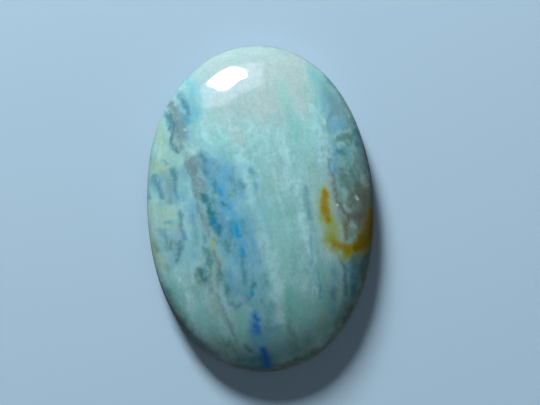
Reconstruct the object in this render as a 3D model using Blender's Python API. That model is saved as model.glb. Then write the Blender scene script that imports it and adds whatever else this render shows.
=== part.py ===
"""An oval cabochon of banded onyx, cut and polished from one piece of stone.

It lies on its flat back. +Z points up through the crown of the dome, +Y runs along the oval,
and the origin is the middle of the flat back. All lengths are in metres.
"""

import math

import bmesh
import bpy

MM = 0.001

# Driving dimensions of the cut stone
LENGTH = 35.0 * MM
WIDTH = 24.0 * MM
HEIGHT = 6.5 * MM
BACK_BEVEL = 0.4 * MM
WALL_HEIGHT = 1.5 * MM
WALL_LEAN = 0.12 * MM

# Share by which the oval stands out past an ellipse, halfway between its axes
OVAL_FULLNESS = 0.018

# Exponent of the dome's section: 2 is a half ellipse, and less is flatter towards the wall
DOME_FULLNESS = 1.6

# The hand-ground shoulder that stands slightly proud of the oval
SHOULDER_RISE = 0.12 * MM
SHOULDER_ANGLE = math.radians(154.0)
SHOULDER_SPREAD = math.radians(12.0)

# Fineness of the mesh
SEGMENTS = 96
DOME_RINGS = 27
SHARP_ANGLE = math.radians(25.0)

# Overall colour of the polished stone, linear RGB
STONE_COLOUR = (0.33, 0.50, 0.52, 1.0)
POLISH_ROUGHNESS = 0.12

HALF_WIDTH = WIDTH / 2.0
HALF_LENGTH = LENGTH / 2.0
WALL_TOP = BACK_BEVEL + WALL_HEIGHT
DOME_RISE = HEIGHT - WALL_TOP


def clear_scene():
    """Remove every object, so that the scene holds the stone alone."""
    for item in list(bpy.data.objects):
        bpy.data.objects.remove(item, do_unlink=True)


def shoulder(angle):
    """Return how far the outline stands proud of the oval at an angle from +X."""
    turn = math.remainder(angle - SHOULDER_ANGLE, math.tau)
    return SHOULDER_RISE * math.exp(-(turn / SHOULDER_SPREAD) ** 2)


def outline_point(angle, inset):
    """Return x and y of the oval's outline at an angle, drawn in evenly by an inset."""
    reach = shoulder(angle) - inset
    swell = 1.0 + OVAL_FULLNESS * math.sin(2.0 * angle) ** 2
    x = (HALF_WIDTH + reach) * swell * math.cos(angle)
    y = (HALF_LENGTH + reach) * swell * math.sin(angle)
    return x, y


def add_ring(bm, inset, share, z):
    """Add one closed ring of vertices: the inset oval, shrunk to a share of its size."""
    ring = []
    for step in range(SEGMENTS):
        x, y = outline_point(math.tau * step / SEGMENTS, inset)
        ring.append(bm.verts.new((x * share, y * share, z)))
    return ring


def dome_section():
    """Return the dome's profile from wall to crown, as pairs of share of the oval and height."""
    section = []
    for step in range(1, DOME_RINGS):
        turn = math.pi / 2.0 * step / DOME_RINGS
        rise = math.sin(turn) ** (2.0 / DOME_FULLNESS)
        section.append((math.cos(turn), WALL_TOP + DOME_RISE * rise))
    return section


def join_rings(bm, lower, upper):
    """Fill the band between two rings with four-sided faces."""
    for step in range(SEGMENTS):
        ahead = (step + 1) % SEGMENTS
        bm.faces.new((lower[step], lower[ahead], upper[ahead], upper[step]))


def close_crown(bm, ring):
    """Close the top of the dome with a fan of faces about its crown."""
    crown = bm.verts.new((0.0, 0.0, HEIGHT))
    for step in range(SEGMENTS):
        bm.faces.new((ring[step], ring[(step + 1) % SEGMENTS], crown))


def stone_mesh():
    """Build the closed skin of the stone from its back, bevel, wall and dome."""
    bm = bmesh.new()
    rings = [add_ring(bm, BACK_BEVEL, 1.0, 0.0)]
    rings.append(add_ring(bm, 0.0, 1.0, BACK_BEVEL))
    rings.append(add_ring(bm, WALL_LEAN, 1.0, WALL_TOP))
    for share, z in dome_section():
        rings.append(add_ring(bm, WALL_LEAN, share, z))
    for lower, upper in zip(rings, rings[1:]):
        join_rings(bm, lower, upper)
    bm.faces.new(list(reversed(rings[0])))
    close_crown(bm, rings[-1])
    mesh = bpy.data.meshes.new("cabochon")
    bm.to_mesh(mesh)
    bm.free()
    mesh.shade_smooth()
    mesh.set_sharp_from_angle(angle=SHARP_ANGLE)
    return mesh


def stone_material():
    """Make the polished stone's plain material."""
    material = bpy.data.materials.new("polished_onyx")
    material.use_nodes = True
    shader = material.node_tree.nodes["Principled BSDF"]
    shader.inputs["Base Color"].default_value = STONE_COLOUR
    shader.inputs["Roughness"].default_value = POLISH_ROUGHNESS
    shader.inputs["Metallic"].default_value = 0.0
    return material


def build_cabochon():
    """Make the stone, at rest on its back at the origin."""
    mesh = stone_mesh()
    mesh.materials.append(stone_material())
    stone = bpy.data.objects.new("cabochon", mesh)
    bpy.context.scene.collection.objects.link(stone)
    return stone


clear_scene()
build_cabochon()
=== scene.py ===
"""Visual model of an oval cabochon of banded onyx with blue inclusions, lying flat on a table.

The stone is one polished solid. Its skin is drawn here finely enough to carry its markings, over the
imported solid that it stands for. Everything is in metres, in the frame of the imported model: +Z up through
the crown of the dome, +Y along the oval. Places of markings are in millimetres, seen from above.
"""

import logging
import math
from dataclasses import dataclass
from enum import Enum

import bpy
import numpy as np
from mathutils import Matrix, Vector, noise


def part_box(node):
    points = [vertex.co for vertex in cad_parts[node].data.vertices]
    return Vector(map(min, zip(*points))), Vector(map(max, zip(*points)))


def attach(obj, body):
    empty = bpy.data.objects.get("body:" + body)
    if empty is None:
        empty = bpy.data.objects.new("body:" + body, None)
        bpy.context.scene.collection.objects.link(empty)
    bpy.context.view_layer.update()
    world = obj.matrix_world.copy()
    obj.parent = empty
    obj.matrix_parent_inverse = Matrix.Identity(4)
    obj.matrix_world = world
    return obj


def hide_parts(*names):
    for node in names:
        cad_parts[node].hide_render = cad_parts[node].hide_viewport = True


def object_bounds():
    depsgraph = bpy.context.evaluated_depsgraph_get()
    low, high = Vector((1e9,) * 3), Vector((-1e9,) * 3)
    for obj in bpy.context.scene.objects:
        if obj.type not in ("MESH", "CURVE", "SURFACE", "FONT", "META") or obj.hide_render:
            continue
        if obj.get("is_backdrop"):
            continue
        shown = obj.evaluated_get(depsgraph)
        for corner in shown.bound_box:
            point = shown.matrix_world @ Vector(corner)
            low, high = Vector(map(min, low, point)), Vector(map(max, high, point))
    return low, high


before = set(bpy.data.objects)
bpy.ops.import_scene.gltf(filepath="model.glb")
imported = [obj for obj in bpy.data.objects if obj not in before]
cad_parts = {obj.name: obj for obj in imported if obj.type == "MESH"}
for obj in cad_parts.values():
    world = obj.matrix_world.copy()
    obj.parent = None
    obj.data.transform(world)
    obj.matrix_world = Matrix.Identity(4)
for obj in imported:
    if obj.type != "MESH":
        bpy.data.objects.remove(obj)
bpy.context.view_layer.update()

# One millimetre, in metres.
MM = 0.001
LOG = logging.getLogger("cabochon")
NODE = "cabochon"
BODY = "root"


def hex_to_linear(code: str) -> tuple[float, float, float, float]:
    """Turn an sRGB hex colour into the linear colour that shaders use.

    Args:
        code: Six hex digits, red first.

    Returns:
        Linear red, green and blue, with an alpha of 1.
    """
    channels = [int(code[start:start + 2], 16) / 255.0 for start in (0, 2, 4)]
    linear = [c / 12.92 if c <= 0.04045 else ((c + 0.055) / 1.055) ** 2.4 for c in channels]
    return linear[0], linear[1], linear[2], 1.0


def deselect_all() -> None:
    """Clear the selection, so that the next operator acts on its own piece alone."""
    bpy.ops.object.select_all(action="DESELECT")


def add_node(tree: bpy.types.NodeTree, kind: str, inputs: dict[int | str, object],
             **settings: object) -> bpy.types.Node:
    """Add a node, set it up and feed its inputs.

    Args:
        tree: The material's node tree.
        kind: Blender's type name of the node.
        inputs: Socket name or number, with the socket to link or the plain value to set.
        **settings: Properties of the node itself, such as its operation.

    Returns:
        The new node.
    """
    node = tree.nodes.new(kind)
    for name, value in settings.items():
        setattr(node, name, value)
    for socket, value in inputs.items():
        if isinstance(value, bpy.types.NodeSocket):
            tree.links.new(value, node.inputs[socket])
        else:
            node.inputs[socket].default_value = value
    return node


class Pigment(Enum):
    """What colours the stone locally, over its pale banding."""

    # Milky clouds, and a painted reflection on the lower left rim.
    MILK_AND_RIM_REFLECTION = "milk"
    LILAC = "lilac"
    SEA = "sea_green"
    CYAN = "turquoise"
    SLATE = "slate_blue"
    STEEL = "steel_grey"
    TAUPE = "taupe_vein"
    CREAM = "cream_calcite"
    MOSS = "moss"
    NAVY = "navy"
    # Smoky crystal, and the painted shade along the rim of the foot.
    SMOKE = "smoky_crystal_and_rim_shade"
    TEAL = "teal_mottle"
    AZURE = "azure_fleck"
    STAIN = "olive_stain"
    OCHRE = "ochre_stain"
    AMBER = "amber_stain"
    LINE = "dark_hairline"
    RUST = "rust_fissure"
    # Frosty cleavage, and painted glints.
    FROST_AND_GLINT = "frosty_cleavage_and_glint"
    PIT = "pin_hole"


class Texture(Enum):
    """What breaks up a pigment's edge and body."""

    HAZE = "haze"
    STRAND = "strand"
    FIBRE = "fibre"
    MOTTLE = "mottle"
    GRAIN = "grain"


@dataclass(frozen=True)
class Streak:
    """One marking in the stone.

    Its path is points of (x, y, half width) in millimetres, seen from above. A strength of 1 covers about
    two thirds of what lies under it. Depth is how far down it goes, in millimetres.
    """

    path: tuple[tuple[float, float, float], ...]
    strength: float = 1.0
    depth: float = 2.2


MARKINGS: dict[Pigment, tuple[Streak, ...]] = {
    # Greyish milk over the whole top, thinning out towards the middle.
    Pigment.LILAC: (
        Streak(((-4.0, 15.6, 2.0), (0.0, 16.0, 2.4), (4.2, 15.2, 2.0)), 1.6),
        Streak(((-4.4, 12.6, 2.0), (-0.4, 12.6, 2.4), (3.6, 12.4, 2.0))),
        Streak(((-3.2, 9.6, 1.8), (0.4, 9.6, 2.2), (3.0, 9.8, 1.6)), 0.85),
        Streak(((-2.4, 9.4, 0.5), (-2.4, 8.6, 0.5)), 0.4),
        Streak(((1.2, 11.4, 0.5), (1.3, 9.4, 0.6), (1.0, 8.2, 0.5)), 0.6),
        Streak(((-1.6, 6.6, 0.5), (-1.4, 5.4, 0.4)), 0.45),
        Streak(((4.3, 15.4, 0.5), (4.6, 12.6, 0.6), (5.3, 10.4, 0.5), (5.4, 8.8, 0.3)), 0.9),
        Streak(((7.4, 4.2, 0.25), (7.45, 2.4, 0.3), (7.4, 0.4, 0.35)), 1.1),
        Streak(((-5.7, -2.2, 0.15), (-5.5, -3.0, 0.15)), 1.3),
        Streak(((7.6, -0.4, 0.4), (7.7, -2.0, 0.5), (7.9, -3.6, 0.35)), 1.4),
        Streak(((2.0, 3.0, 0.8), (2.2, 1.6, 0.7)), 0.3),
        Streak(((-8.5, -2.7, 0.35), (-8.5, -3.4, 0.35)), 0.8),
        Streak(((-2.5, 8.4, 0.35), (-2.5, 7.6, 0.35)), 0.6),
        Streak(((-10.5, -1.7, 0.35), (-10.5, -2.3, 0.35)), 0.8),
        Streak(((-2.5, 8.2, 0.4), (-2.4, 6.8, 0.4), (-1.6, 6.0, 0.35)), 0.7),
        Streak(((2.5, 8.3, 0.35), (2.5, 7.7, 0.35)), 0.4),
        Streak(((-3.5, -0.7, 0.3), (-3.5, -1.3, 0.3)), 0.3),
    ),
    # Milky blue-white clouds and bands, and a painted reflection along the lower left rim.
    Pigment.MILK_AND_RIM_REFLECTION: (
        Streak(((-5.8, 7.4, 0.5), (-4.8, 7.0, 0.6), (-4.6, 6.2, 0.4)), 0.4),
        Streak(((-1.8, 5.2, 0.5), (-1.4, 3.4, 0.45), (-1.0, 1.6, 0.4), (-0.7, -0.4, 0.35)), 0.6),
        Streak(((0.6, 4.6, 0.7), (1.2, 3.8, 0.7)), 0.3),
        Streak(((-0.4, 7.4, 0.8), (0.4, 6.6, 0.8)), 0.35),
        Streak(((6.9, -11.4, 0.35), (7.0, -12.4, 0.35)), 1.3),
        Streak(((-1.0, -9.5, 0.2), (-0.9, -10.3, 0.2)), 0.8),
        Streak(((-3.4, 7.2, 0.6), (-2.8, 6.4, 0.5)), 0.3),
        Streak(((6.3, 9.4, 0.4), (6.4, 6.4, 0.5), (6.8, 4.6, 0.4)), 0.8),
        Streak(((7.25, 8.0, 0.2), (7.25, 7.4, 0.25)), 0.9),
        Streak(((3.2, 4.6, 0.25), (3.3, 2.8, 0.35), (3.6, 0.8, 0.35), (4.3, -1.0, 0.25),
                (4.4, -2.6, 0.25)), 0.8),
        Streak(((4.4, -2.6, 0.3), (4.75, -4.2, 0.34), (4.85, -6.0, 0.26)), 1.8),
        Streak(((5.1, -6.2, 0.2), (5.35, -7.6, 0.24), (5.4, -8.8, 0.28), (5.4, -9.9, 0.26)), 2.3),
        Streak(((5.8, -12.8, 0.5), (5.2, -13.9, 0.5))),
        Streak(((8.9, -8.4, 0.12), (8.9, -9.4, 0.14), (8.85, -10.2, 0.12)), 0.7),
        Streak(((7.6, -9.8, 0.14), (7.7, -11.4, 0.16)), 0.2),
        Streak(((0.9, -8.4, 0.5), (1.6, -9.6, 0.6), (1.4, -10.3, 0.4)), 1.9),
        Streak(((1.0, -12.7, 0.34), (1.7, -12.5, 0.4)), 3.0),
        Streak(((0.4, -3.8, 0.5), (0.5, -5.4, 0.5), (1.2, -6.8, 0.7), (1.6, -8.0, 0.6)), 0.7),
        Streak(((2.8, -3.4, 0.7), (3.4, -5.2, 0.8)), 0.45),
        Streak(((3.2, 2.0, 0.6), (3.4, 0.8, 0.6)), 0.4),
        Streak(((6.6, 6.4, 0.4), (6.9, 3.4, 0.4)), 0.9),
        Streak(((3.0, -7.4, 0.5), (3.2, -8.6, 0.5)), 0.35),
        Streak(((-7.8, -9.4, 0.35), (-7.6, -10.4, 0.4), (-7.4, -12.0, 0.3))),
        # Painted reflection: a pale band along the lower left rim.
        Streak(((-7.4, -13.0, 0.4), (-6.2, -13.8, 0.5), (-5.0, -14.9, 0.6), (-3.8, -15.8, 0.5)), 1.5),
        Streak(((-5.4, -9.6, 0.35), (-5.0, -11.0, 0.4), (-4.2, -12.2, 0.3)), 0.7),
        Streak(((-9.0, -6.8, 0.6), (-8.8, -7.6, 0.4)), 0.6),
        Streak(((-3.9, -10.4, 0.2), (-3.9, -11.4, 0.2)), 0.6),
        Streak(((-2.8, -6.4, 0.4), (-2.7, -7.6, 0.3)), 0.4),
        Streak(((-2.6, 0.4, 0.3), (-2.4, -0.6, 0.35), (-1.9, -1.9, 0.4)), 0.6),
        Streak(((-3.2, -0.7, 0.25), (-3.1, -1.2, 0.25), (-3.6, -1.9, 0.3)), 0.8),
        Streak(((-0.8, -6.6, 0.35), (-1.0, -7.4, 0.4), (-0.9, -8.0, 0.4)), 1.6),
        Streak(((-3.6, -4.0, 0.25), (-2.9, -4.1, 0.25)), 0.5),
        Streak(((-0.5, -9.0, 0.25), (-0.5, -9.6, 0.25)), 0.7),
        Streak(((-1.5, -11.2, 0.25), (-1.2, -11.6, 0.2)), 0.9),
        Streak(((-10.6, 6.6, 0.3), (-10.2, 6.2, 0.35), (-10.2, 5.4, 0.3)), 0.7),
        Streak(((-7.9, 0.0, 0.25), (-8.9, -0.2, 0.3), (-8.9, -1.2, 0.3)), 0.7),
        Streak(((-7.6, -1.4, 0.25), (-7.5, -2.6, 0.25), (-7.4, -4.2, 0.2)), 0.7),
        Streak(((-9.2, -2.9, 0.25), (-9.0, -3.4, 0.25)), 0.7),
        Streak(((-8.0, 4.2, 0.25), (-8.0, 2.6, 0.2)), 0.5),
        Streak(((-8.5, 10.4, 0.08), (-8.2, 10.1, 0.1), (-8.0, 9.9, 0.06)), 0.8),
        Streak(((2.2, -0.3, 0.06), (2.6, -1.2, 0.06)), 0.5),
        Streak(((-3.3, -12.2, 0.25), (-2.9, -13.6, 0.25)), 0.5),
        Streak(((4.4, 1.7, 0.3), (4.4, 0.4, 0.3)), 0.5),
        Streak(((7.5, 6.4, 0.35), (7.5, 4.9, 0.35), (7.5, 2.8, 0.3)), 0.45),
        Streak(((-2.5, 8.4, 0.4), (-2.4, 7.6, 0.4)), 0.8),
        Streak(((-0.4, -4.5, 0.35), (-0.4, -5.6, 0.35)), 0.5),
        Streak(((0.4, -10.0, 0.4), (1.5, -10.2, 0.4)), 0.5),
        Streak(((3.5, -9.5, 0.35), (3.5, -10.5, 0.35)), 0.4),
        Streak(((4.3, -6.6, 0.35), (4.2, -7.6, 0.3), (4.4, -9.8, 0.25)), 0.5),
        Streak(((-4.5, -11.7, 0.4), (-4.5, -12.5, 0.4)), 0.4),
        Streak(((-0.3, -11.7, 0.3), (-0.2, -12.4, 0.3)), 0.35),
        Streak(((5.3, -9.1, 0.2), (5.35, -10.1, 0.2)), 1.4),
        Streak(((7.5, 3.4, 0.3), (7.5, 2.6, 0.3)), 0.95),
        Streak(((-2.6, -4.7, 0.35), (-2.5, -5.3, 0.35)), 1.1),
        Streak(((-0.6, -10.7, 0.35), (0.5, -11.0, 0.4), (0.4, -12.2, 0.4), (-0.4, -12.2, 0.3)), 0.45),
        Streak(((-5.5, -2.7, 0.3), (-5.5, -3.3, 0.3)), 0.65),
        Streak(((5.5, 9.4, 0.35), (5.5, 8.6, 0.35)), 0.3),
        Streak(((-0.5, 5.4, 0.35), (-0.5, 4.6, 0.35)), 0.35),
        Streak(((2.5, -5.6, 0.4), (2.5, -6.4, 0.4)), 0.3),
        Streak(((7.5, 6.3, 0.3), (7.5, 5.6, 0.3)), 0.3),
        Streak(((2.4, -9.8, 0.35), (1.2, -10.0, 0.4), (0.5, -10.0, 0.35)), 0.4),
        Streak(((-3.6, -3.8, 0.3), (-3.4, -4.3, 0.3)), 0.25),
        Streak(((-6.8, -6.4, 0.3), (-6.5, -7.0, 0.3)), 0.35),
        Streak(((7.4, -11.7, 0.35), (7.6, -12.3, 0.3)), 0.7),
        Streak(((-4.5, -11.7, 0.35), (-4.5, -12.3, 0.35)), 0.3),
        Streak(((5.4, -8.8, 0.3), (5.5, -9.6, 0.3)), 0.5),
        Streak(((5.35, -9.3, 0.2), (5.45, -10.1, 0.2)), 1.2),
        Streak(((4.95, -6.9, 0.2), (5.0, -7.8, 0.2)), 0.6),
        Streak(((-10.6, -1.7, 0.35), (-10.4, -2.3, 0.35)), 0.4),
    ),
    # Sea-green translucent bands.
    Pigment.SEA: (
        Streak(((2.9, 12.0, 0.5), (3.5, 9.8, 0.5), (4.2, 7.4, 0.6), (4.8, 4.8, 0.6),
                (5.4, 2.6, 0.5)), 0.7),
        Streak(((3.2, 10.9, 0.1), (3.5, 9.8, 0.12), (3.8, 8.9, 0.1)), 0.9),
        Streak(((3.0, 10.4, 0.08), (3.2, 9.4, 0.08)), 0.6),
        Streak(((6.1, 14.0, 0.25), (6.3, 12.6, 0.25), (6.7, 11.2, 0.25), (6.8, 10.0, 0.2)), 0.7),
        Streak(((6.7, 14.0, 0.3), (7.5, 12.8, 0.4), (8.4, 11.2, 0.35)), 0.8),
        Streak(((-4.9, 9.8, 0.5), (-4.6, 8.8, 0.4)), 0.4),
        Streak(((1.9, 6.8, 0.3), (1.7, 6.0, 0.3)), 0.5),
        Streak(((1.4, -1.6, 0.9), (2.4, -3.4, 1.2), (2.8, -6.0, 1.2), (3.2, -8.4, 1.0)), 0.5),
        Streak(((2.6, -9.9, 0.35), (2.7, -11.2, 0.5), (2.7, -12.4, 0.45)), 2.2),
        Streak(((3.9, -10.6, 0.5), (4.0, -11.6, 0.9), (3.8, -13.2, 0.9)), 1.2),
        Streak(((-0.6, -15.6, 0.8), (2.0, -15.0, 0.8), (4.2, -14.6, 0.8)), 0.6),
        Streak(((6.2, -7.6, 0.2), (6.4, -9.0, 0.35), (6.3, -11.4, 0.5), (5.6, -13.4, 0.6)), 1.8),
        Streak(((7.2, -7.4, 0.4), (7.2, -9.4, 0.45)), 0.75),
        Streak(((6.9, -11.2, 0.35), (7.1, -12.2, 0.35)), 0.5),
        Streak(((-6.9, -11.0, 0.5), (-6.2, -12.4, 0.9), (-4.8, -13.6, 0.9)), 0.7),
        Streak(((-2.3, -11.8, 0.5), (-2.4, -14.0, 0.5)), 1.3),
        Streak(((-9.6, -6.6, 0.5), (-9.4, -8.6, 0.6), (-8.8, -10.8, 0.6), (-7.8, -12.4, 0.5)), 0.55),
        Streak(((8.85, -1.2, 0.3), (9.0, -1.6, 0.3)), 1.8),
        Streak(((-4.2, 7.3, 0.12), (-4.0, 6.7, 0.16), (-3.6, 6.2, 0.14)), 0.9),
        Streak(((-3.5, 7.4, 0.1), (-3.3, 6.7, 0.12)), 0.7),
        Streak(((6.5, 8.9, 0.12), (6.7, 8.0, 0.14), (7.0, 7.4, 0.1)), 0.9),
        Streak(((-7.0, 6.5, 0.12), (-6.4, 6.1, 0.12), (-6.0, 6.05, 0.1)), 0.9),
        Streak(((-11.4, 7.2, 0.3), (-11.4, 5.4, 0.3), (-11.7, 3.6, 0.25)), 0.8),
        Streak(((-0.4, -12.0, 0.5), (0.3, -11.2, 0.5), (0.2, -12.8, 0.5)), 0.4),
        Streak(((5.7, -7.4, 0.1), (5.75, -8.6, 0.12), (5.8, -10.0, 0.12)), 2.2),
        Streak(((6.5, 5.6, 0.3), (6.5, 4.4, 0.3)), 0.45),
        Streak(((5.5, 7.7, 0.4), (5.5, 6.3, 0.4)), 0.5),
        Streak(((5.5, 5.4, 0.35), (5.5, 4.6, 0.35)), 0.5),
        Streak(((4.5, 8.4, 0.4), (4.5, 6.7, 0.4)), 0.3),
        Streak(((3.2, 16.2, 0.3), (3.8, 15.8, 0.3)), 0.3),
        Streak(((7.6, -7.8, 0.35), (7.5, -9.6, 0.4), (7.2, -11.6, 0.5)), 0.6),
        Streak(((5.2, -11.2, 0.4), (5.2, -12.0, 0.4)), 0.3),
        Streak(((6.3, 13.6, 0.45), (7.1, 12.6, 0.5)), 0.6),
    ),
    # Turquoise on both shoulders and in the lower part.
    Pigment.CYAN: (
        Streak(((-7.4, 14.0, 0.4), (-6.6, 13.0, 0.6), (-6.3, 11.4, 0.6), (-6.5, 9.8, 0.6),
                (-6.4, 8.6, 0.3)), 1.2),
        Streak(((-7.8, 10.8, 0.4), (-7.4, 9.8, 0.4)), 0.7),
        Streak(((6.1, 14.4, 0.3), (6.7, 13.2, 0.4), (7.4, 12.0, 0.6), (7.8, 11.0, 0.6)), 0.6),
        Streak(((7.5, 11.0, 0.5), (8.4, 10.2, 0.7), (8.8, 8.8, 0.8), (9.0, 7.4, 0.6)), 0.45),
        Streak(((-5.3, 6.0, 0.4), (-4.4, 5.4, 0.4), (-3.3, 4.9, 0.4)), 0.5),
        Streak(((0.2, -9.6, 0.6), (-0.4, -11.0, 0.6), (0.4, -12.4, 0.7), (-0.2, -14.4, 0.5)), 0.9),
        Streak(((-1.3, -7.4, 0.4), (-1.3, -8.6, 0.45)), 0.7),
        Streak(((0.3, -8.2, 0.35), (0.3, -9.2, 0.4)), 1.1),
        Streak(((6.4, -9.4, 0.4), (6.3, -11.0, 0.4)), 0.3),
        Streak(((2.4, -13.4, 0.4), (2.6, -14.6, 0.4)), 0.5),
        Streak(((7.0, -11.4, 0.4), (7.1, -12.4, 0.4)), 0.5),
        Streak(((5.25, -7.4, 0.3), (5.4, -9.4, 0.3)), 0.9),
        Streak(((-1.2, -8.8, 0.8), (-0.8, -10.4, 0.7)), 0.5),
        Streak(((7.3, -7.4, 0.5), (7.4, -9.4, 0.5)), 0.65),
        Streak(((-7.6, 4.0, 0.3), (-7.5, 2.4, 0.3)), 0.6),
        Streak(((-8.9, -4.8, 0.6), (-9.2, -6.2, 0.5)), 0.5),
        Streak(((-7.6, -4.2, 0.5), (-7.4, -6.4, 0.6)), 0.5),
        Streak(((5.9, 3.4, 0.2), (5.9, 2.4, 0.2)), 0.7),
        Streak(((0.4, -0.8, 0.6), (0.8, -2.4, 0.7), (0.8, -3.6, 0.5)), 0.45),
        Streak(((7.7, 6.2, 0.3), (7.9, 5.2, 0.25)), 0.8),
        Streak(((-10.4, -3.2, 0.3), (-10.2, -4.6, 0.3)), 0.4),
        Streak(((-6.5, 9.6, 0.55), (-6.6, 8.0, 0.7), (-6.5, 6.3, 0.6)), 0.45),
        Streak(((-5.5, 9.5, 0.4), (-5.5, 8.6, 0.4)), 0.3),
        Streak(((-5.3, 13.2, 0.4), (-5.1, 11.6, 0.5)), 0.35),
        Streak(((-4.6, 7.3, 0.4), (-4.4, 6.7, 0.4)), 0.2),
        Streak(((6.6, -9.4, 0.3), (6.4, -10.8, 0.3)), 0.4),
        Streak(((-3.5, -9.8, 0.4), (-3.5, -11.2, 0.4)), 0.45),
        Streak(((7.4, -11.7, 0.35), (7.6, -12.3, 0.3)), 0.3),
        Streak(((8.4, 11.2, 0.35), (8.6, 10.8, 0.35)), 0.3),
        Streak(((6.5, 5.3, 0.35), (6.5, 4.7, 0.35)), 0.3),
    ),
    # Cream and yellow-green calcite.
    Pigment.CREAM: (
        Streak(((-10.9, 9.2, 0.5), (-10.4, 7.6, 0.7), (-9.9, 5.8, 0.7), (-9.0, 4.9, 0.6),
                (-8.0, 4.6, 0.4)), 0.6),
        Streak(((-10.9, 4.9, 0.4), (-10.5, 4.2, 0.35), (-9.9, 3.8, 0.32), (-9.3, 3.8, 0.24)), 1.6),
        Streak(((-9.9, 9.6, 0.2), (-9.8, 8.6, 0.25), (-9.7, 7.2, 0.3)), 0.8),
        Streak(((-8.9, 11.8, 0.2), (-9.3, 11.2, 0.2)), 0.8),
        Streak(((-11.2, 0.2, 0.4), (-10.2, -0.7, 0.6), (-9.2, -0.9, 0.5), (-8.8, -1.0, 0.3)), 0.8),
        Streak(((-10.6, -1.6, 0.4), (-9.6, -2.2, 0.3), (-8.8, -2.4, 0.25)), 0.6),
        Streak(((-11.5, -2.6, 0.3), (-11.2, -4.0, 0.4), (-10.8, -5.2, 0.4)), 0.9),
        Streak(((-10.7, -5.9, 0.4), (-10.0, -6.2, 0.3)), 0.8),
        Streak(((-5.05, -3.9, 0.14), (-4.95, -4.6, 0.2), (-4.85, -5.0, 0.14)), 2.2),
        Streak(((6.1, -2.2, 0.3), (6.1, 0.6, 0.35), (5.7, 2.2, 0.4), (5.6, 3.8, 0.4)), 0.4),
        Streak(((6.25, -11.0, 0.14), (6.15, -12.4, 0.2), (5.6, -13.4, 0.3)), 0.7),
        Streak(((-5.2, -10.2, 0.5), (-4.8, -11.6, 0.5)), 0.5),
        Streak(((6.65, -8.4, 0.1), (6.6, -10.4, 0.1)), 0.8),
        Streak(((-4.3, -6.0, 0.2), (-4.5, -7.0, 0.15)), 0.6),
        Streak(((8.1, -3.2, 0.3), (8.2, -4.6, 0.35)), 0.9),
        Streak(((6.6, 1.8, 0.5), (6.8, 1.2, 0.4)), 0.4),
        Streak(((-11.5, -0.3, 0.3), (-11.5, -1.6, 0.3)), 0.5),
        Streak(((-3.6, -7.6, 0.3), (-3.5, -8.3, 0.3)), 0.4),
        Streak(((-7.6, 12.2, 0.35), (-8.4, 11.0, 0.4)), 0.35),
        Streak(((7.5, -0.7, 0.3), (7.5, -2.2, 0.3)), 0.6),
        Streak(((8.4, -2.8, 0.3), (8.5, -3.3, 0.3)), 0.5),
    ),
    # Grey-green near the foot, and darker along the rims.
    Pigment.MOSS: (
        Streak(((8.8, 11.6, 0.15), (9.3, 10.4, 0.3), (9.7, 9.0, 0.5), (9.9, 7.8, 0.5),
                (9.6, 6.4, 0.5)), 1.2),
        Streak(((7.9, 12.9, 0.15), (8.4, 12.2, 0.12)), 0.7),
        Streak(((8.5, 5.9, 0.2), (9.2, 6.2, 0.3), (9.8, 6.2, 0.4), (9.6, 5.4, 0.3)), 1.6),
        Streak(((8.4, 4.5, 0.3), (9.4, 4.2, 0.6), (9.4, 2.8, 0.6), (9.0, 1.6, 0.6)), 1.2),
        Streak(((8.7, 2.6, 0.3), (8.7, 1.4, 0.3), (9.4, 0.8, 0.3), (10.2, 1.8, 0.5),
                (9.6, 2.6, 0.4)), 1.1),
        Streak(((-10.1, 3.5, 0.3), (-9.6, 3.6, 0.3)), 0.45),
        Streak(((-11.3, 5.6, 0.3), (-10.9, 4.8, 0.3)), 0.5),
        Streak(((-4.4, -7.2, 0.3), (-4.5, -8.0, 0.3)), 0.6),
        Streak(((2.6, -10.8, 0.3), (2.7, -12.0, 0.35)), 0.3),
        Streak(((-5.2, -10.4, 0.5), (-5.0, -11.6, 0.5)), 0.4),
        Streak(((-10.6, -8.2, 0.3), (-9.8, -9.4, 0.4), (-9.2, -10.6, 0.4), (-8.4, -12.0, 0.3))),
        Streak(((-5.6, -13.4, 0.4), (-5.0, -14.4, 0.5), (-4.0, -14.8, 0.5)), 0.45),
        Streak(((-11.2, -3.6, 0.25), (-10.9, -4.4, 0.25)), 0.8),
        Streak(((-9.9, -6.4, 0.25), (-9.7, -6.6, 0.2)), 0.8),
        Streak(((-8.0, -13.0, 0.15), (-7.6, -13.0, 0.12)), 0.8),
        Streak(((2.4, -12.9, 0.3), (2.5, -14.0, 0.4), (2.8, -15.6, 0.6)), 0.8),
        Streak(((4.2, -14.2, 0.4), (4.4, -15.2, 0.6)), 0.5),
        Streak(((8.1, -6.6, 0.2), (8.4, -7.6, 0.22), (8.5, -9.2, 0.22), (8.5, -10.4, 0.2)), 0.7),
        Streak(((11.2, -5.8, 0.3), (10.8, -6.8, 0.5), (10.2, -8.2, 0.4)), 1.5),
        Streak(((3.3, -0.6, 0.4), (3.5, -1.4, 0.35)), 0.3),
        Streak(((-3.7, -7.8, 0.35), (-3.8, -8.6, 0.4), (-3.6, -9.6, 0.4)), 0.9),
        Streak(((-6.2, -7.2, 0.4), (-6.0, -8.0, 0.4)), 0.9),
        Streak(((-5.4, -5.4, 0.4), (-5.2, -6.6, 0.45), (-5.4, -7.8, 0.4))),
        Streak(((-8.6, 10.6, 0.3), (-8.2, 9.6, 0.4), (-7.8, 8.8, 0.5)), 0.8),
        Streak(((-3.4, -15.4, 0.5), (-2.4, -16.2, 0.5)), 0.25),
        Streak(((-7.6, -9.0, 0.4), (-6.5, -9.1, 0.5), (-5.5, -9.2, 0.4)), 0.5),
        Streak(((-4.7, 5.1, 0.35), (-4.3, 5.0, 0.35)), 0.25),
        Streak(((-9.5, 7.4, 0.35), (-9.4, 6.7, 0.35)), 0.25),
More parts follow.
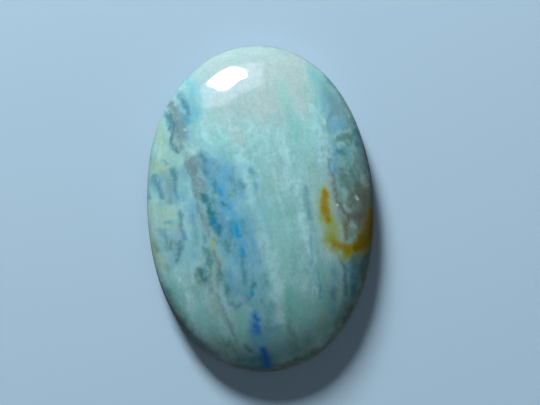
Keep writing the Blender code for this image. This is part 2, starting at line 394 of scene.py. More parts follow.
        Streak(((-8.6, 4.3, 0.35), (-8.4, 3.8, 0.3)), 0.2),
        Streak(((-10.6, -3.7, 0.35), (-10.4, -4.4, 0.35)), 0.25),
        Streak(((-8.8, 11.4, 0.35), (-8.4, 10.8, 0.35)), 0.35),
        Streak(((-3.9, -14.8, 0.4), (-3.2, -15.3, 0.4)), 0.7),
        Streak(((-5.6, -3.8, 0.35), (-5.5, -4.4, 0.35)), 0.3),
        Streak(((-4.7, 7.2, 0.35), (-4.4, 6.8, 0.35)), 0.2),
        Streak(((-6.6, -5.7, 0.35), (-6.5, -6.1, 0.3)), 0.2),
        Streak(((-7.7, 12.2, 0.35), (-7.4, 10.8, 0.4)), 0.3),
        Streak(((-6.5, 8.4, 0.4), (-6.5, 6.2, 0.4)), 0.3),
        Streak(((-8.6, 10.2, 0.3), (-8.5, 7.0, 0.35)), 0.15),
        Streak(((3.0, 16.2, 0.35), (3.8, 15.9, 0.35)), 0.2),
        Streak(((-6.6, -0.6, 0.35), (-6.5, -1.4, 0.35)), 0.25),
        Streak(((3.2, -15.8, 0.4), (3.9, -16.0, 0.35)), 0.4),
        Streak(((-7.6, 12.2, 0.35), (-8.4, 11.0, 0.4)), 0.2),
    ),
    # The slate-blue zone from the left shoulder to the foot.
    Pigment.SLATE: (
        Streak(((-5.2, 4.2, 0.5), (-4.2, 3.4, 0.9), (-3.8, 1.8, 1.4), (-3.4, 0.0, 1.5), (-3.0, -2.0, 1.6),
                (-2.6, -4.4, 1.5), (-1.9, -6.8, 1.3), (-1.6, -8.6, 1.1)), 1.1, 6.0),
        Streak(((-5.6, 4.6, 0.3), (-5.3, 3.8, 0.4), (-5.2, 2.8, 0.45), (-4.8, 1.6, 0.5)), 0.9),
        Streak(((-4.8, 4.0, 0.4), (-4.2, 3.2, 0.6), (-4.1, 2.2, 0.5), (-3.6, -1.4, 0.4),
                (-3.4, -3.6, 0.4)), 0.9),
        Streak(((-3.0, 3.6, 0.4), (-2.7, 2.4, 0.5), (-2.1, 1.4, 0.4), (-1.8, 0.4, 0.35))),
        Streak(((-0.6, 2.9, 0.25), (-0.3, 2.1, 0.25)), 0.9),
        Streak(((-0.2, 1.3, 0.22), (-0.1, 0.7, 0.25)), 1.1),
        Streak(((-1.2, -1.6, 0.5), (-1.0, -3.6, 0.5), (-0.8, -5.4, 0.4), (-0.4, -6.8, 0.4)), 0.7),
        Streak(((-2.2, -5.2, 0.6), (-2.0, -7.0, 0.6)), 0.4),
        Streak(((-11.3, 2.8, 0.3), (-10.6, 2.3, 0.45), (-10.0, 1.3, 0.4)), 0.9),
        Streak(((-8.8, 1.4, 0.3), (-8.4, 0.7, 0.45)), 1.7),
        Streak(((-7.6, 1.6, 0.2), (-7.6, 0.4, 0.25)), 0.7),
        Streak(((-9.0, -4.2, 0.5), (-8.6, -5.4, 0.4)), 0.4),
        Streak(((-8.3, 3.2, 0.3), (-8.4, 2.2, 0.3)), 0.6),
        Streak(((-10.2, -2.8, 0.3), (-9.6, -3.3, 0.35), (-8.9, -3.2, 0.3)), 0.6),
        Streak(((-7.0, 0.0, 0.4), (-6.9, -2.0, 0.5), (-6.6, -4.0, 0.5), (-6.8, -5.6, 0.4)), 0.55),
        Streak(((-8.0, -3.0, 0.22), (-7.9, -3.7, 0.25)), 1.1),
        Streak(((-9.3, 9.9, 0.14), (-9.2, 9.2, 0.2), (-9.0, 8.4, 0.2)), 1.5),
        Streak(((-7.3, 11.2, 0.25), (-7.0, 10.2, 0.25), (-6.9, 9.2, 0.25)), 1.2),
        Streak(((-7.1, 7.7, 0.2), (-7.2, 7.0, 0.2)), 1.3),
        Streak(((7.1, 10.9, 0.25), (7.4, 10.0, 0.25), (7.3, 9.2, 0.2)), 0.9),
        Streak(((8.3, 10.4, 0.5), (8.8, 9.6, 0.5)), 0.7),
        Streak(((8.0, 8.8, 0.3), (8.0, 7.6, 0.4), (8.2, 6.8, 0.35))),
        Streak(((8.9, 8.2, 0.5), (9.1, 7.2, 0.3)), 0.8),
        Streak(((8.15, 5.8, 0.18), (8.2, 4.6, 0.2), (8.2, 3.2, 0.25), (8.1, 2.2, 0.2)), 1.1),
        Streak(((9.0, 5.0, 0.4), (9.9, 4.6, 0.4), (9.9, 3.6, 0.3)), 0.6),
        Streak(((5.2, -4.4, 0.12), (5.15, -6.0, 0.12), (5.1, -7.4, 0.1))),
        Streak(((-3.2, -8.0, 0.5), (-2.8, -9.6, 0.5), (-2.4, -10.6, 0.5)), 0.6),
        Streak(((-1.0, -11.8, 0.35), (-1.1, -13.2, 0.45), (-0.9, -14.6, 0.6),
                (-0.8, -17.4, 0.9)), 1.1, 6.0),
        Streak(((0.4, -13.7, 0.35), (1.0, -13.6, 0.3)), 1.1),
        Streak(((0.8, -15.0, 0.7), (2.0, -15.4, 0.8)), 0.3),
        Streak(((9.1, -7.2, 0.3), (9.3, -8.6, 0.4), (8.9, -10.4, 0.3)), 0.6),
        Streak(((-8.2, 12.4, 0.35), (-7.7, 11.6, 0.5), (-7.6, 10.4, 0.4)), 0.5),
        Streak(((-7.0, -0.5, 0.4), (-6.7, -1.6, 0.4)), 0.35),
        Streak(((-7.6, -0.6, 0.35), (-7.5, -1.4, 0.35)), 0.3),
        Streak(((-1.6, 3.3, 0.35), (-1.4, 2.7, 0.35)), 0.35),
        Streak(((8.5, 4.3, 0.3), (8.5, 3.7, 0.3)), 0.35),
    ),
    # Grey-blue blotches, mostly on the left.
    Pigment.STEEL: (
        Streak(((-9.4, 10.3, 0.16), (-9.1, 9.7, 0.26), (-8.9, 9.0, 0.32), (-9.0, 8.4, 0.2)), 2.0),
        Streak(((-7.6, 9.0, 0.2), (-7.2, 8.5, 0.25)), 0.6),
        Streak(((-6.8, 3.8, 0.16), (-6.5, 3.2, 0.22), (-6.5, 2.6, 0.16)), 1.3),
        Streak(((-4.4, 3.7, 0.3), (-4.1, 3.1, 0.35)), 0.7),
        Streak(((-8.5, 1.3, 0.2), (-8.4, 0.7, 0.2)), 0.6),
        Streak(((-7.6, 11.5, 0.14), (-7.3, 10.9, 0.22), (-7.1, 10.3, 0.2), (-6.9, 9.6, 0.16)), 1.7),
        Streak(((-8.0, 12.2, 0.1), (-7.9, 11.8, 0.12)), 0.9),
        Streak(((-7.9, 9.9, 0.14), (-7.4, 9.4, 0.2), (-7.0, 8.9, 0.18)), 1.3),
        Streak(((-7.8, 9.0, 0.25), (-7.6, 8.0, 0.3), (-7.7, 7.2, 0.3)), 1.2),
        Streak(((-6.4, 4.5, 0.25), (-5.8, 4.8, 0.35), (-5.4, 4.3, 0.3)), 1.2),
        Streak(((-6.1, 3.9, 0.2), (-5.6, 3.4, 0.3), (-5.2, 2.8, 0.3)), 1.3),
        Streak(((-2.9, 2.1, 0.25), (-2.6, 1.7, 0.25)), 0.9),
        Streak(((-2.4, 3.1, 0.25), (-2.5, 2.6, 0.2)), 0.5),
        Streak(((-1.8, 1.4, 0.2), (-1.6, 1.0, 0.2)), 0.8),
        Streak(((-0.6, 2.9, 0.16), (-0.4, 2.4, 0.16)), 0.7),
        Streak(((-11.0, 3.4, 0.2), (-10.8, 2.7, 0.25), (-10.4, 2.3, 0.3), (-10.1, 1.5, 0.2),
                (-10.0, 0.8, 0.14)), 1.2),
        Streak(((-8.9, 3.7, 0.2), (-8.8, 3.2, 0.28), (-8.6, 2.5, 0.2), (-8.7, 2.0, 0.28),
                (-8.7, 1.5, 0.14)), 1.4),
        Streak(((-9.3, 2.6, 0.24), (-9.2, 1.6, 0.26), (-9.2, 0.2, 0.2)), 0.45),
        Streak(((-9.8, -1.8, 0.14), (-9.3, -1.85, 0.14))),
        Streak(((-10.0, -2.5, 0.08), (-9.3, -2.6, 0.08)), 0.5),
        Streak(((-10.6, -2.4, 0.22), (-10.1, -2.9, 0.25), (-9.85, -3.4, 0.2), (-9.75, -4.5, 0.22)), 0.55),
        Streak(((-8.2, -1.0, 0.18), (-8.1, -1.5, 0.18), (-8.2, -2.3, 0.25), (-8.1, -2.7, 0.2)), 1.15),
        Streak(((-8.0, -3.2, 0.14), (-7.9, -3.7, 0.16)), 0.8),
        Streak(((-8.4, -4.1, 0.2), (-8.3, -4.7, 0.26), (-8.5, -5.4, 0.2), (-8.8, -6.0, 0.16)), 1.05),
        Streak(((-9.2, -4.0, 0.8), (-8.9, -5.2, 0.8)), 0.35),
        Streak(((-7.0, -1.6, 0.3), (-6.6, -3.0, 0.3), (-6.6, -4.4, 0.3)), 0.5),
        Streak(((-3.3, -10.8, 0.2), (-2.9, -11.2, 0.2), (-2.5, -11.0, 0.16))),
        Streak(((4.9, 0.7, 0.14), (5.0, 0.0, 0.26), (5.1, -1.2, 0.26), (5.3, -2.6, 0.16)), 0.6),
        Streak(((7.6, 11.4, 0.4), (8.3, 10.2, 0.6), (8.6, 9.2, 0.5)), 0.4),
        Streak(((7.7, 13.3, 0.2), (8.1, 12.7, 0.25), (8.7, 12.1, 0.2)), 0.7),
        Streak(((10.7, 7.2, 0.2), (10.8, 5.4, 0.3), (11.1, 3.8, 0.35), (11.2, 2.6, 0.35)), 1.4),
        Streak(((7.6, 3.6, 0.16), (7.5, 2.6, 0.2), (7.6, 2.0, 0.2))),
        Streak(((0.3, -14.2, 0.4), (1.0, -14.4, 0.3)), 0.2),
        Streak(((7.2, -10.0, 0.28), (7.2, -10.6, 0.25)), 1.1),
        Streak(((8.2, -6.9, 0.14), (8.5, -7.8, 0.2), (8.45, -9.0, 0.18), (8.4, -10.4, 0.14)), 1.3),
        Streak(((9.6, -6.8, 0.3), (9.9, -7.8, 0.4)), 0.9),
        Streak(((-7.9, 12.4, 0.25), (-7.5, 11.8, 0.35), (-7.3, 11.2, 0.3)), 0.5),
        Streak(((-7.4, 8.3, 0.35), (-7.3, 6.9, 0.4)), 0.35),
        Streak(((-10.6, 3.2, 0.4), (-9.6, 3.0, 0.3)), 0.35),
        Streak(((-7.6, 3.6, 0.3), (-7.5, 2.4, 0.3)), 0.25),
        Streak(((-8.5, 10.0, 0.3), (-8.5, 8.8, 0.3)), 0.3),
        Streak(((8.2, -11.2, 0.3), (7.8, -12.3, 0.3), (7.1, -13.3, 0.3)), 0.5),
        Streak(((-8.6, 9.4, 0.4), (-8.5, 7.2, 0.4)), 0.25),
        Streak(((-8.5, 3.4, 0.35), (-7.4, 3.2, 0.4)), 0.3),
        Streak(((-10.4, 3.0, 0.4), (-9.5, 2.9, 0.4)), 0.2),
        Streak(((-6.6, 11.4, 0.4), (-6.5, 9.4, 0.35)), 0.2),
        Streak(((-6.6, 3.6, 0.3), (-6.5, 2.7, 0.3)), 0.3),
        Streak(((-7.6, 8.4, 0.35), (-7.5, 7.6, 0.35)), 0.3),
        Streak(((-9.6, 0.2, 0.35), (-8.5, 0.0, 0.35)), 0.3),
        Streak(((-8.6, 9.3, 0.3), (-8.5, 8.7, 0.3)), 0.5),
        Streak(((-5.7, 5.1, 0.3), (-5.3, 4.9, 0.3)), 0.25),
        Streak(((-9.5, 2.3, 0.3), (-8.5, 2.9, 0.3)), 0.2),
        Streak(((-6.5, 3.3, 0.3), (-6.5, 2.7, 0.3)), 0.25),
        Streak(((-1.5, -13.7, 0.3), (-1.5, -14.3, 0.3)), 0.3),
        Streak(((5.8, -9.5, 0.08), (5.85, -10.8, 0.1)), 0.9),
        Streak(((-7.6, 7.3, 0.3), (-7.4, 6.7, 0.3)), 0.2),
    ),
    # Taupe vein that bounds the slate zone, and other grey-brown fills.
    Pigment.TAUPE: (
        Streak(((-7.1, 4.4, 0.3), (-6.7, 3.5, 0.42), (-6.3, 2.5, 0.4), (-6.1, 1.4, 0.4),
                (-6.0, 0.6, 0.3)), 1.7, 6.0),
        Streak(((-6.0, 0.8, 0.3), (-5.9, -0.8, 0.3), (-5.7, -2.4, 0.3), (-5.3, -3.6, 0.24)), 1.2, 6.0),
        Streak(((-6.5, 4.4, 0.3), (-6.2, 3.8, 0.25)), 0.8),
        Streak(((-5.6, 1.8, 0.3), (-5.3, 1.0, 0.25)), 0.6),
        Streak(((-4.75, -5.4, 0.16), (-4.5, -6.3, 0.18), (-4.3, -7.0, 0.16), (-4.5, -8.0, 0.2),
                (-4.6, -9.2, 0.2))),
        Streak(((-8.9, 11.4, 0.25), (-8.4, 10.4, 0.35), (-8.2, 9.2, 0.4), (-8.2, 7.8, 0.4),
                (-8.3, 6.8, 0.4), (-7.9, 6.1, 0.3)), 1.3),
        Streak(((-7.6, 5.6, 0.3), (-7.1, 5.0, 0.3)), 0.6),
        Streak(((-6.6, -7.2, 0.22), (-6.6, -7.8, 0.26), (-6.4, -8.4, 0.24), (-5.8, -8.6, 0.2))),
        Streak(((-9.3, 2.0, 0.3), (-9.2, 0.4, 0.25)), 0.8),
        Streak(((-9.3, -3.8, 0.16), (-9.3, -4.5, 0.16)), 1.1),
        Streak(((-5.2, -8.2, 0.3), (-5.4, -9.4, 0.3)), 0.7),
        Streak(((-4.9, -9.8, 0.2), (-4.6, -11.2, 0.16), (-3.8, -12.8, 0.16)), 0.6),
        Streak(((7.9, 1.6, 0.2), (7.9, 1.2, 0.22), (8.0, 0.4, 0.16)), 0.8),
        Streak(((9.3, -2.4, 0.3), (9.1, -3.2, 0.4), (9.2, -4.2, 0.4)), 1.1),
        Streak(((8.4, -2.2, 0.4), (8.3, -3.4, 0.4)), 0.5),
        Streak(((-7.4, 8.0, 0.3), (-7.6, 7.2, 0.3)), 0.5),
        Streak(((7.4, 12.3, 0.35), (8.0, 11.2, 0.5), (8.4, 10.0, 0.6), (8.7, 8.8, 0.5)), 0.55),
        Streak(((-3.4, -12.4, 0.3), (-3.0, -14.0, 0.3)), 0.4),
        Streak(((-8.8, 11.3, 0.3), (-8.3, 10.7, 0.35)), 0.95),
        Streak(((-6.8, 6.2, 0.4), (-6.2, 6.0, 0.35)), 0.35),
        Streak(((-9.5, 3.3, 0.3), (-9.4, 2.8, 0.3)), 0.3),
        Streak(((-11.5, -0.3, 0.3), (-11.5, -1.6, 0.3)), 0.15),
        Streak(((-7.5, 8.4, 0.4), (-7.5, 7.0, 0.4)), 0.3),
        Streak(((-4.6, 2.2, 0.3), (-4.4, 1.8, 0.3)), 0.3),
    ),
    # Smoky crystal on the right, and painted shade: a darker rim round the right side and the foot, where the
    # dome turns from the light.
    Pigment.SMOKE: (
        Streak(((11.3, 5.6, 0.2), (11.6, 3.6, 0.3), (11.8, 1.2, 0.35), (11.9, -1.6, 0.35)), 1.2, 5.0),
        Streak(((10.3, 1.2, 0.4), (10.4, 0.4, 0.65), (10.6, -1.0, 0.7), (10.4, -2.6, 0.6)), 1.3, 5.0),
        Streak(((9.0, 2.0, 0.4), (9.1, 1.1, 0.4)), 0.4, 4.0),
        Streak(((9.6, 0.0, 0.22), (9.6, -0.6, 0.25), (9.5, -1.2, 0.25)), 1.0, 4.0),
        Streak(((9.6, -2.2, 0.2), (10.2, -2.2, 0.3), (11.0, -2.0, 0.3)), 1.1, 4.0),
        Streak(((9.9, -2.8, 0.3), (10.2, -3.4, 0.3), (9.6, -4.0, 0.25)), 1.1, 4.0),
        # Painted shade along the rim, from the right side round the foot.
        Streak(((11.6, -5.2, 0.3), (11.0, -6.6, 0.6), (10.5, -8.6, 0.45), (9.9, -10.4, 0.3),
                (8.3, -13.2, 0.3), (5.9, -15.6, 0.3), (2.4, -17.1, 0.3), (-1.0, -17.6, 0.3),
                (-3.8, -17.0, 0.2)), 1.2, 5.0),
        Streak(((11.0, -6.0, 0.4), (10.8, -7.2, 0.4)), 0.9, 4.0),
        Streak(((10.5, 1.0, 0.4), (11.2, -0.6, 0.6), (11.0, -2.4, 0.5)), 0.9, 4.0),
        Streak(((-9.2, -11.4, 0.15), (-8.4, -12.5, 0.15)), 0.8, 4.0),
        Streak(((10.4, 4.5, 0.3), (10.5, 3.2, 0.4), (10.4, 2.2, 0.35)), 0.8, 4.0),
        Streak(((11.4, 1.6, 0.35), (11.5, 0.6, 0.35)), 0.65, 4.0),
        Streak(((9.4, -6.2, 0.4), (9.6, -7.2, 0.45)), 0.75, 4.0),
        Streak(((10.3, -5.9, 0.3), (10.9, -5.6, 0.3)), 0.6, 4.0),
        # Painted shade on the rim of the lower right.
        Streak(((9.0, -11.0, 0.35), (8.4, -12.2, 0.4), (7.6, -13.2, 0.35)), 0.9, 4.0),
        Streak(((9.5, -5.9, 0.3), (10.4, -6.2, 0.35)), 0.5, 4.0),
        Streak(((8.4, 0.3, 0.35), (8.6, -1.0, 0.35), (9.5, -1.1, 0.35)), 0.35, 4.0),
        Streak(((9.4, -5.9, 0.35), (10.6, -6.0, 0.35)), 0.5, 4.0),
        Streak(((9.4, -0.7, 0.3), (9.6, -1.3, 0.3)), 0.2, 4.0),
        Streak(((11.4, 1.4, 0.3), (11.5, 0.6, 0.3)), 0.3, 4.0),
        Streak(((10.2, -6.0, 0.3), (10.8, -6.0, 0.35)), 0.5, 4.0),
    ),
    # Teal mottles along the left edge of the slate zone and beyond.
    Pigment.TEAL: (
        Streak(((-5.6, 0.6, 0.22), (-5.5, 0.3, 0.3)), 1.9),
        Streak(((-5.4, -0.1, 0.2), (-5.1, -0.6, 0.22), (-5.1, -1.1, 0.18)), 1.4),
        Streak(((-5.1, -1.3, 0.2), (-4.8, -1.7, 0.36), (-4.7, -2.4, 0.38), (-4.3, -3.0, 0.3),
                (-4.2, -3.6, 0.22)), 2.1),
        Streak(((-4.9, -0.2, 0.4), (-4.5, -1.8, 0.5), (-4.1, -3.8, 0.4)), 0.5),
        Streak(((-4.3, -4.6, 0.25), (-3.7, -4.7, 0.28), (-3.1, -4.6, 0.25)), 0.8),
        Streak(((-3.6, -0.4, 0.14), (-3.4, -0.8, 0.18)), 1.2),
        Streak(((-4.6, 1.9, 0.3), (-4.3, 1.4, 0.3), (-4.3, 0.8, 0.3), (-3.8, 0.6, 0.25)), 0.9),
        Streak(((-2.2, 0.9, 0.4), (-2.7, 0.3, 0.4)), 0.6),
        Streak(((-5.4, 3.1, 0.3), (-5.2, 2.7, 0.3)), 0.6),
        Streak(((-5.9, -5.0, 0.16), (-5.6, -5.4, 0.25), (-5.3, -6.0, 0.32), (-5.5, -6.6, 0.32),
                (-5.7, -7.4, 0.2)), 0.9),
        Streak(((-4.3, -7.6, 0.2), (-4.1, -8.3, 0.25)), 0.8),
        Streak(((-5.8, -3.3, 0.12), (-5.7, -4.4, 0.14), (-5.8, -4.9, 0.12)), 0.6),
        Streak(((-6.25, -7.3, 0.2), (-6.1, -7.8, 0.28), (-5.95, -8.1, 0.2)), 1.4),
        Streak(((-3.6, -9.0, 0.25), (-3.6, -9.5, 0.28)), 0.6),
        Streak(((-2.9, -2.8, 0.5), (-2.7, -3.8, 0.5), (-3.2, -5.4, 0.5)), 0.7),
        Streak(((-1.8, -2.6, 0.3), (-1.5, -3.8, 0.3)), 0.5),
        Streak(((-2.1, -5.6, 0.25), (-1.9, -6.4, 0.25)), 0.6),
        Streak(((-2.0, -6.9, 0.16), (-1.9, -7.6, 0.2), (-1.8, -8.8, 0.25)), 0.5),
        Streak(((-0.9, -8.8, 0.2), (-1.2, -9.4, 0.3), (-1.5, -10.4, 0.3)), 0.7),
        Streak(((-2.4, -9.6, 0.5), (-1.4, -11.0, 0.4)), 0.3),
        Streak(((0.3, -8.2, 0.25), (0.3, -9.2, 0.3)), 0.4),
        Streak(((-0.2, -10.9, 0.14), (-0.1, -11.2, 0.14)), 0.7),
        Streak(((0.8, -11.0, 0.3), (0.2, -13.4, 0.3)), 0.4),
        Streak(((7.1, -7.8, 0.22), (7.3, -8.1, 0.22)), 0.4),
        Streak(((7.4, -8.4, 0.4), (7.3, -9.6, 0.4)), 0.12),
        Streak(((5.7, -8.0, 0.08), (5.7, -9.0, 0.08), (5.75, -10.1, 0.08)), 0.45),
        Streak(((9.6, -8.8, 0.3), (9.4, -10.2, 0.3)), 0.3, 4.0),
        Streak(((9.4, -7.4, 0.35), (9.4, -9.0, 0.4), (9.2, -10.4, 0.35)), 0.75, 4.0),
        Streak(((10.8, -6.4, 0.35), (10.5, -7.4, 0.4)), 0.5, 4.0),
        Streak(((8.3, 5.0, 0.16), (8.7, 4.7, 0.25), (9.2, 4.6, 0.2))),
        Streak(((10.3, 8.4, 0.3), (10.6, 7.0, 0.4), (10.7, 5.6, 0.4)), 0.9),
        Streak(((-2.1, -15.0, 0.2), (-1.8, -15.5, 0.2)), 1.4),
        Streak(((-3.0, -16.4, 0.3), (-1.4, -16.6, 0.4), (0.6, -16.6, 0.4)), 0.5),
        Streak(((-9.8, 4.9, 0.1), (-9.5, 4.4, 0.1)), 0.9),
        Streak(((-8.8, 3.4, 0.14), (-8.6, 3.0, 0.14)), 0.8),
        Streak(((1.2, -13.4, 0.25), (1.4, -14.0, 0.3)), 0.2),
        Streak(((9.0, 11.6, 0.06), (9.3, 10.9, 0.1))),
        Streak(((-10.2, -8.6, 0.2), (-9.6, -9.6, 0.2)), 0.6),
        Streak(((-4.7, 0.5, 0.35), (-4.4, -0.5, 0.35)), 0.4),
        Streak(((-3.6, -9.7, 0.35), (-3.4, -10.4, 0.35)), 0.4),
        Streak(((9.3, -6.0, 0.3), (9.7, -6.0, 0.3)), 0.3),
        Streak(((-5.6, -7.8, 0.3), (-5.4, -8.3, 0.3)), 0.25),
    ),
    # Azure flecks down the slate zone.
    Pigment.AZURE: (
        Streak(((-3.85, 1.0, 0.12), (-3.75, 0.5, 0.15)), 1.7),
        Streak(((-3.1, -0.8, 0.14), (-2.9, -1.1, 0.18)), 0.7),
        Streak(((-2.9, -2.6, 0.2), (-2.8, -3.3, 0.25)), 0.55),
        Streak(((-2.4, -3.0, 0.12), (-2.3, -3.4, 0.17), (-2.25, -3.9, 0.17), (-2.1, -4.2, 0.12)), 2.0),
        Streak(((-1.9, -5.5, 0.13), (-1.8, -5.9, 0.17), (-1.65, -6.1, 0.12)), 2.2),
        Streak(((-1.1, -9.8, 0.13), (-1.0, -10.1, 0.15)), 1.6),
        Streak(((-2.8, -5.8, 0.35), (-2.9, -6.8, 0.35)), 0.35),
        Streak(((-4.0, 2.4, 0.4), (-3.7, 1.4, 0.4), (-3.0, -0.6, 0.3)), 0.12),
        Streak(((-2.9, -1.2, 0.4), (-2.5, -2.0, 0.4), (-2.1, -5.0, 0.4)), 0.35),
        Streak(((-0.5, -14.2, 0.14), (-0.4, -14.6, 0.14)), 0.6),
        Streak(((-9.5, -1.85, 0.12), (-9.3, -1.87, 0.12)), 0.5),
        Streak(((-7.0, 9.0, 0.2), (-6.8, 8.7, 0.2)), 0.5),
        Streak(((-1.5, -13.7, 0.3), (-1.5, -14.3, 0.3)), 0.2),
        Streak(((-0.5, -11.8, 0.3), (-0.4, -12.4, 0.3)), 0.2),
        Streak(((-3.6, -3.8, 0.3), (-3.4, -4.3, 0.3)), 0.15),
    ),
    # Deep blue cores of the largest flecks.
    Pigment.NAVY: (
        Streak(((-4.65, -2.25, 0.12), (-4.5, -2.6, 0.13)), 1.1),
        Streak(((-4.35, -3.05, 0.1), (-4.2, -3.4, 0.1)), 0.9),
        Streak(((-0.95, -12.3, 0.12), (-0.8, -12.6, 0.18)), 1.5),
        Streak(((-0.95, -13.2, 0.16), (-0.85, -13.7, 0.22)), 1.3),
        Streak(((-1.1, -12.2, 0.35), (-1.0, -13.8, 0.4)), 0.35),
        Streak(((-0.3, -15.5, 0.25), (-0.2, -16.2, 0.35), (-0.1, -16.9, 0.35)), 1.8),
        Streak(((-3.6, -8.9, 0.14), (-3.7, -9.1, 0.14)), 0.4),
    ),
    # Iron stain: a vertical streak that turns under and runs out to the rim.
    Pigment.STAIN: (
        Streak(((6.85, 0.7, 0.2), (6.85, 0.0, 0.4), (6.7, -1.2, 0.5), (6.8, -2.6, 0.5)), 1.05, 1.6),
        Streak(((6.8, -2.6, 0.45), (7.0, -3.4, 0.5), (7.2, -4.4, 0.5)), 0.75, 1.6),
        Streak(((-4.95, -4.2, 0.1), (-4.85, -5.0, 0.12)), 0.55),
        Streak(((6.1, -12.0, 0.2), (5.8, -13.2, 0.3)), 0.08),
        Streak(((7.1, -4.6, 0.45), (7.8, -5.1, 0.45), (8.8, -5.6, 0.48), (9.4, -5.7, 0.35)), 1.4, 1.6),
        Streak(((7.4, -3.0, 0.4), (7.6, -4.2, 0.5)), 0.5, 1.6),
        Streak(((8.1, -3.2, 0.45), (8.3, -4.3, 0.5)), 0.3, 1.6),
        Streak(((8.9, -6.1, 0.3), (8.6, -6.8, 0.22)), 1.3, 1.6),
        Streak(((9.9, -5.4, 0.3), (10.4, -4.9, 0.5), (11.2, -3.7, 0.6), (11.8, -1.8, 0.5)), 1.3, 3.0),
        Streak(((7.0, -5.5, 0.35), (7.7, -5.9, 0.35)), 0.35, 1.6),
        Streak(((6.4, -4.9, 0.3), (6.6, -5.3, 0.3)), 0.2, 1.6),
        Streak(((10.3, -5.9, 0.25), (10.9, -5.6, 0.3)), 0.4, 3.0),
        Streak(((7.2, -5.7, 0.35), (7.8, -6.1, 0.35)), 0.45, 1.6),
        Streak(((9.4, -6.0, 0.3), (10.4, -6.0, 0.3)), 0.2, 3.0),
        Streak(((7.5, 0.4, 0.25), (7.5, -0.4, 0.25)), 0.12, 1.6),
        Streak(((11.4, 1.2, 0.3), (11.5, 0.6, 0.3)), 0.15, 3.0),
        Streak(((8.7, -2.8, 0.22), (8.7, -4.6, 0.22)), 0.4),
    ),
    # Denser ochre along the middle of the stain.
    Pigment.OCHRE: (
        Streak(((6.9, 0.4, 0.08), (6.97, 0.0, 0.17), (6.85, -0.7, 0.2), (6.8, -1.6, 0.22),
                (6.9, -2.2, 0.18), (6.95, -2.9, 0.1)), 1.7, 1.6),
        Streak(((7.6, -5.2, 0.25), (8.4, -5.5, 0.3), (9.0, -5.7, 0.3), (9.6, -5.6, 0.32)), 0.95, 1.6),
    ),
    # The darkest part of the stain, deep in the stone beside the rim.
    Pigment.AMBER: (
        Streak(((9.9, -5.6, 0.2), (10.3, -5.1, 0.38), (10.9, -4.5, 0.55), (11.5, -3.6, 0.55),
                (11.9, -1.8, 0.4)), 3.0, 3.0),
    ),
    # Dark hairlines.
    Pigment.LINE: (
        Streak(((-7.4, 4.2, 0.12), (-7.1, 3.2, 0.13), (-6.75, 2.3, 0.12), (-6.6, 1.5, 0.13),
                (-6.55, 0.6, 0.13), (-6.4, 0.0, 0.12), (-6.2, -1.0, 0.12), (-6.0, -1.6, 0.14),
                (-5.9, -2.1, 0.12)), 0.9, 6.0),
        Streak(((-9.0, 10.5, 0.1), (-8.8, 9.7, 0.14), (-8.75, 9.1, 0.18), (-8.5, 8.6, 0.2),
                (-8.6, 8.0, 0.17), (-8.75, 7.4, 0.14), (-8.95, 6.8, 0.14), (-8.85, 6.4, 0.16),
                (-8.5, 6.0, 0.18), (-8.2, 5.6, 0.14)), 1.9, 5.0),
        Streak(((-8.2, 9.6, 0.08), (-8.1, 8.4, 0.1), (-8.1, 7.2, 0.1)), 1.1),
        Streak(((-4.9, -9.8, 0.1), (-4.5, -10.6, 0.12), (-4.1, -11.6, 0.13), (-3.7, -12.6, 0.12),
                (-3.3, -13.8, 0.12), (-3.0, -14.8, 0.1)), 0.7, 5.0),
        Streak(((-11.7, 1.7, 0.08), (-11.4, 1.2, 0.1))),
        Streak(((-5.6, -5.0, 0.1), (-5.4, -5.8, 0.12), (-5.7, -6.6, 0.12)), 0.7),
        Streak(((8.2, 9.0, 0.08), (7.75, 8.4, 0.09), (7.65, 7.6, 0.09), (7.75, 6.6, 0.08)), 0.7),
        Streak(((-6.4, 3.6, 0.12), (-6.3, 3.1, 0.14))),
        Streak(((-4.9, -4.1, 0.08), (-4.7, -4.4, 0.09)), 0.9),
        Streak(((7.5, 4.6, 0.08), (7.55, 3.0, 0.1), (7.7, 2.2, 0.1)), 0.45),
        Streak(((8.4, 6.0, 0.08), (9.0, 6.4, 0.09), (9.8, 6.6, 0.07)), 0.7),
        Streak(((-3.4, 4.6, 0.08), (-3.3, 4.3, 0.09)), 0.5),
        Streak(((8.3, 2.6, 0.08), (8.4, 1.4, 0.1), (8.7, 0.9, 0.09), (9.3, 0.7, 0.08)), 0.6),
    ),
    # Rust-stained fissure inside the stain.
    Pigment.RUST: (
        Streak(((7.85, 2.0, 0.1), (7.95, 1.2, 0.14), (8.0, 0.4, 0.12), (8.1, -0.5, 0.12),
                (8.25, -1.0, 0.13)), 0.65, 4.0),
        Streak(((8.25, -1.0, 0.13), (8.5, -1.6, 0.15), (8.8, -1.9, 0.15), (9.2, -2.1, 0.14)), 1.0, 4.0),
        Streak(((9.2, -2.2, 0.16), (9.0, -2.8, 0.16), (8.8, -3.3, 0.14), (8.75, -3.9, 0.12),
                (8.9, -4.6, 0.13)), 0.9, 4.0),
        Streak(((8.3, -0.2, 0.5), (8.7, -2.4, 0.5), (8.8, -3.6, 0.4)), 0.3, 4.0),
        Streak(((10.8, 0.2, 0.6), (10.6, -1.6, 0.7), (10.4, -3.2, 0.5)), 0.45, 4.0),
        Streak(((9.5, 0.4, 0.2), (9.5, -0.5, 0.2)), 0.5),
        Streak(((9.8, -2.3, 0.2), (10.3, -2.2, 0.2), (10.8, -2.1, 0.16)), 0.6),
        Streak(((-4.8, -5.4, 0.18), (-4.6, -6.0, 0.2), (-4.4, -6.9, 0.2), (-4.4, -7.8, 0.2)), 0.32),
        Streak(((-6.9, 4.2, 0.25), (-6.7, 3.7, 0.25)), 0.3),
        Streak(((-9.3, -4.1, 0.14), (-9.25, -4.4, 0.14)), 0.5),
        Streak(((-6.6, -7.2, 0.14), (-6.7, -7.9, 0.14), (-6.4, -8.4, 0.14)), 0.4),
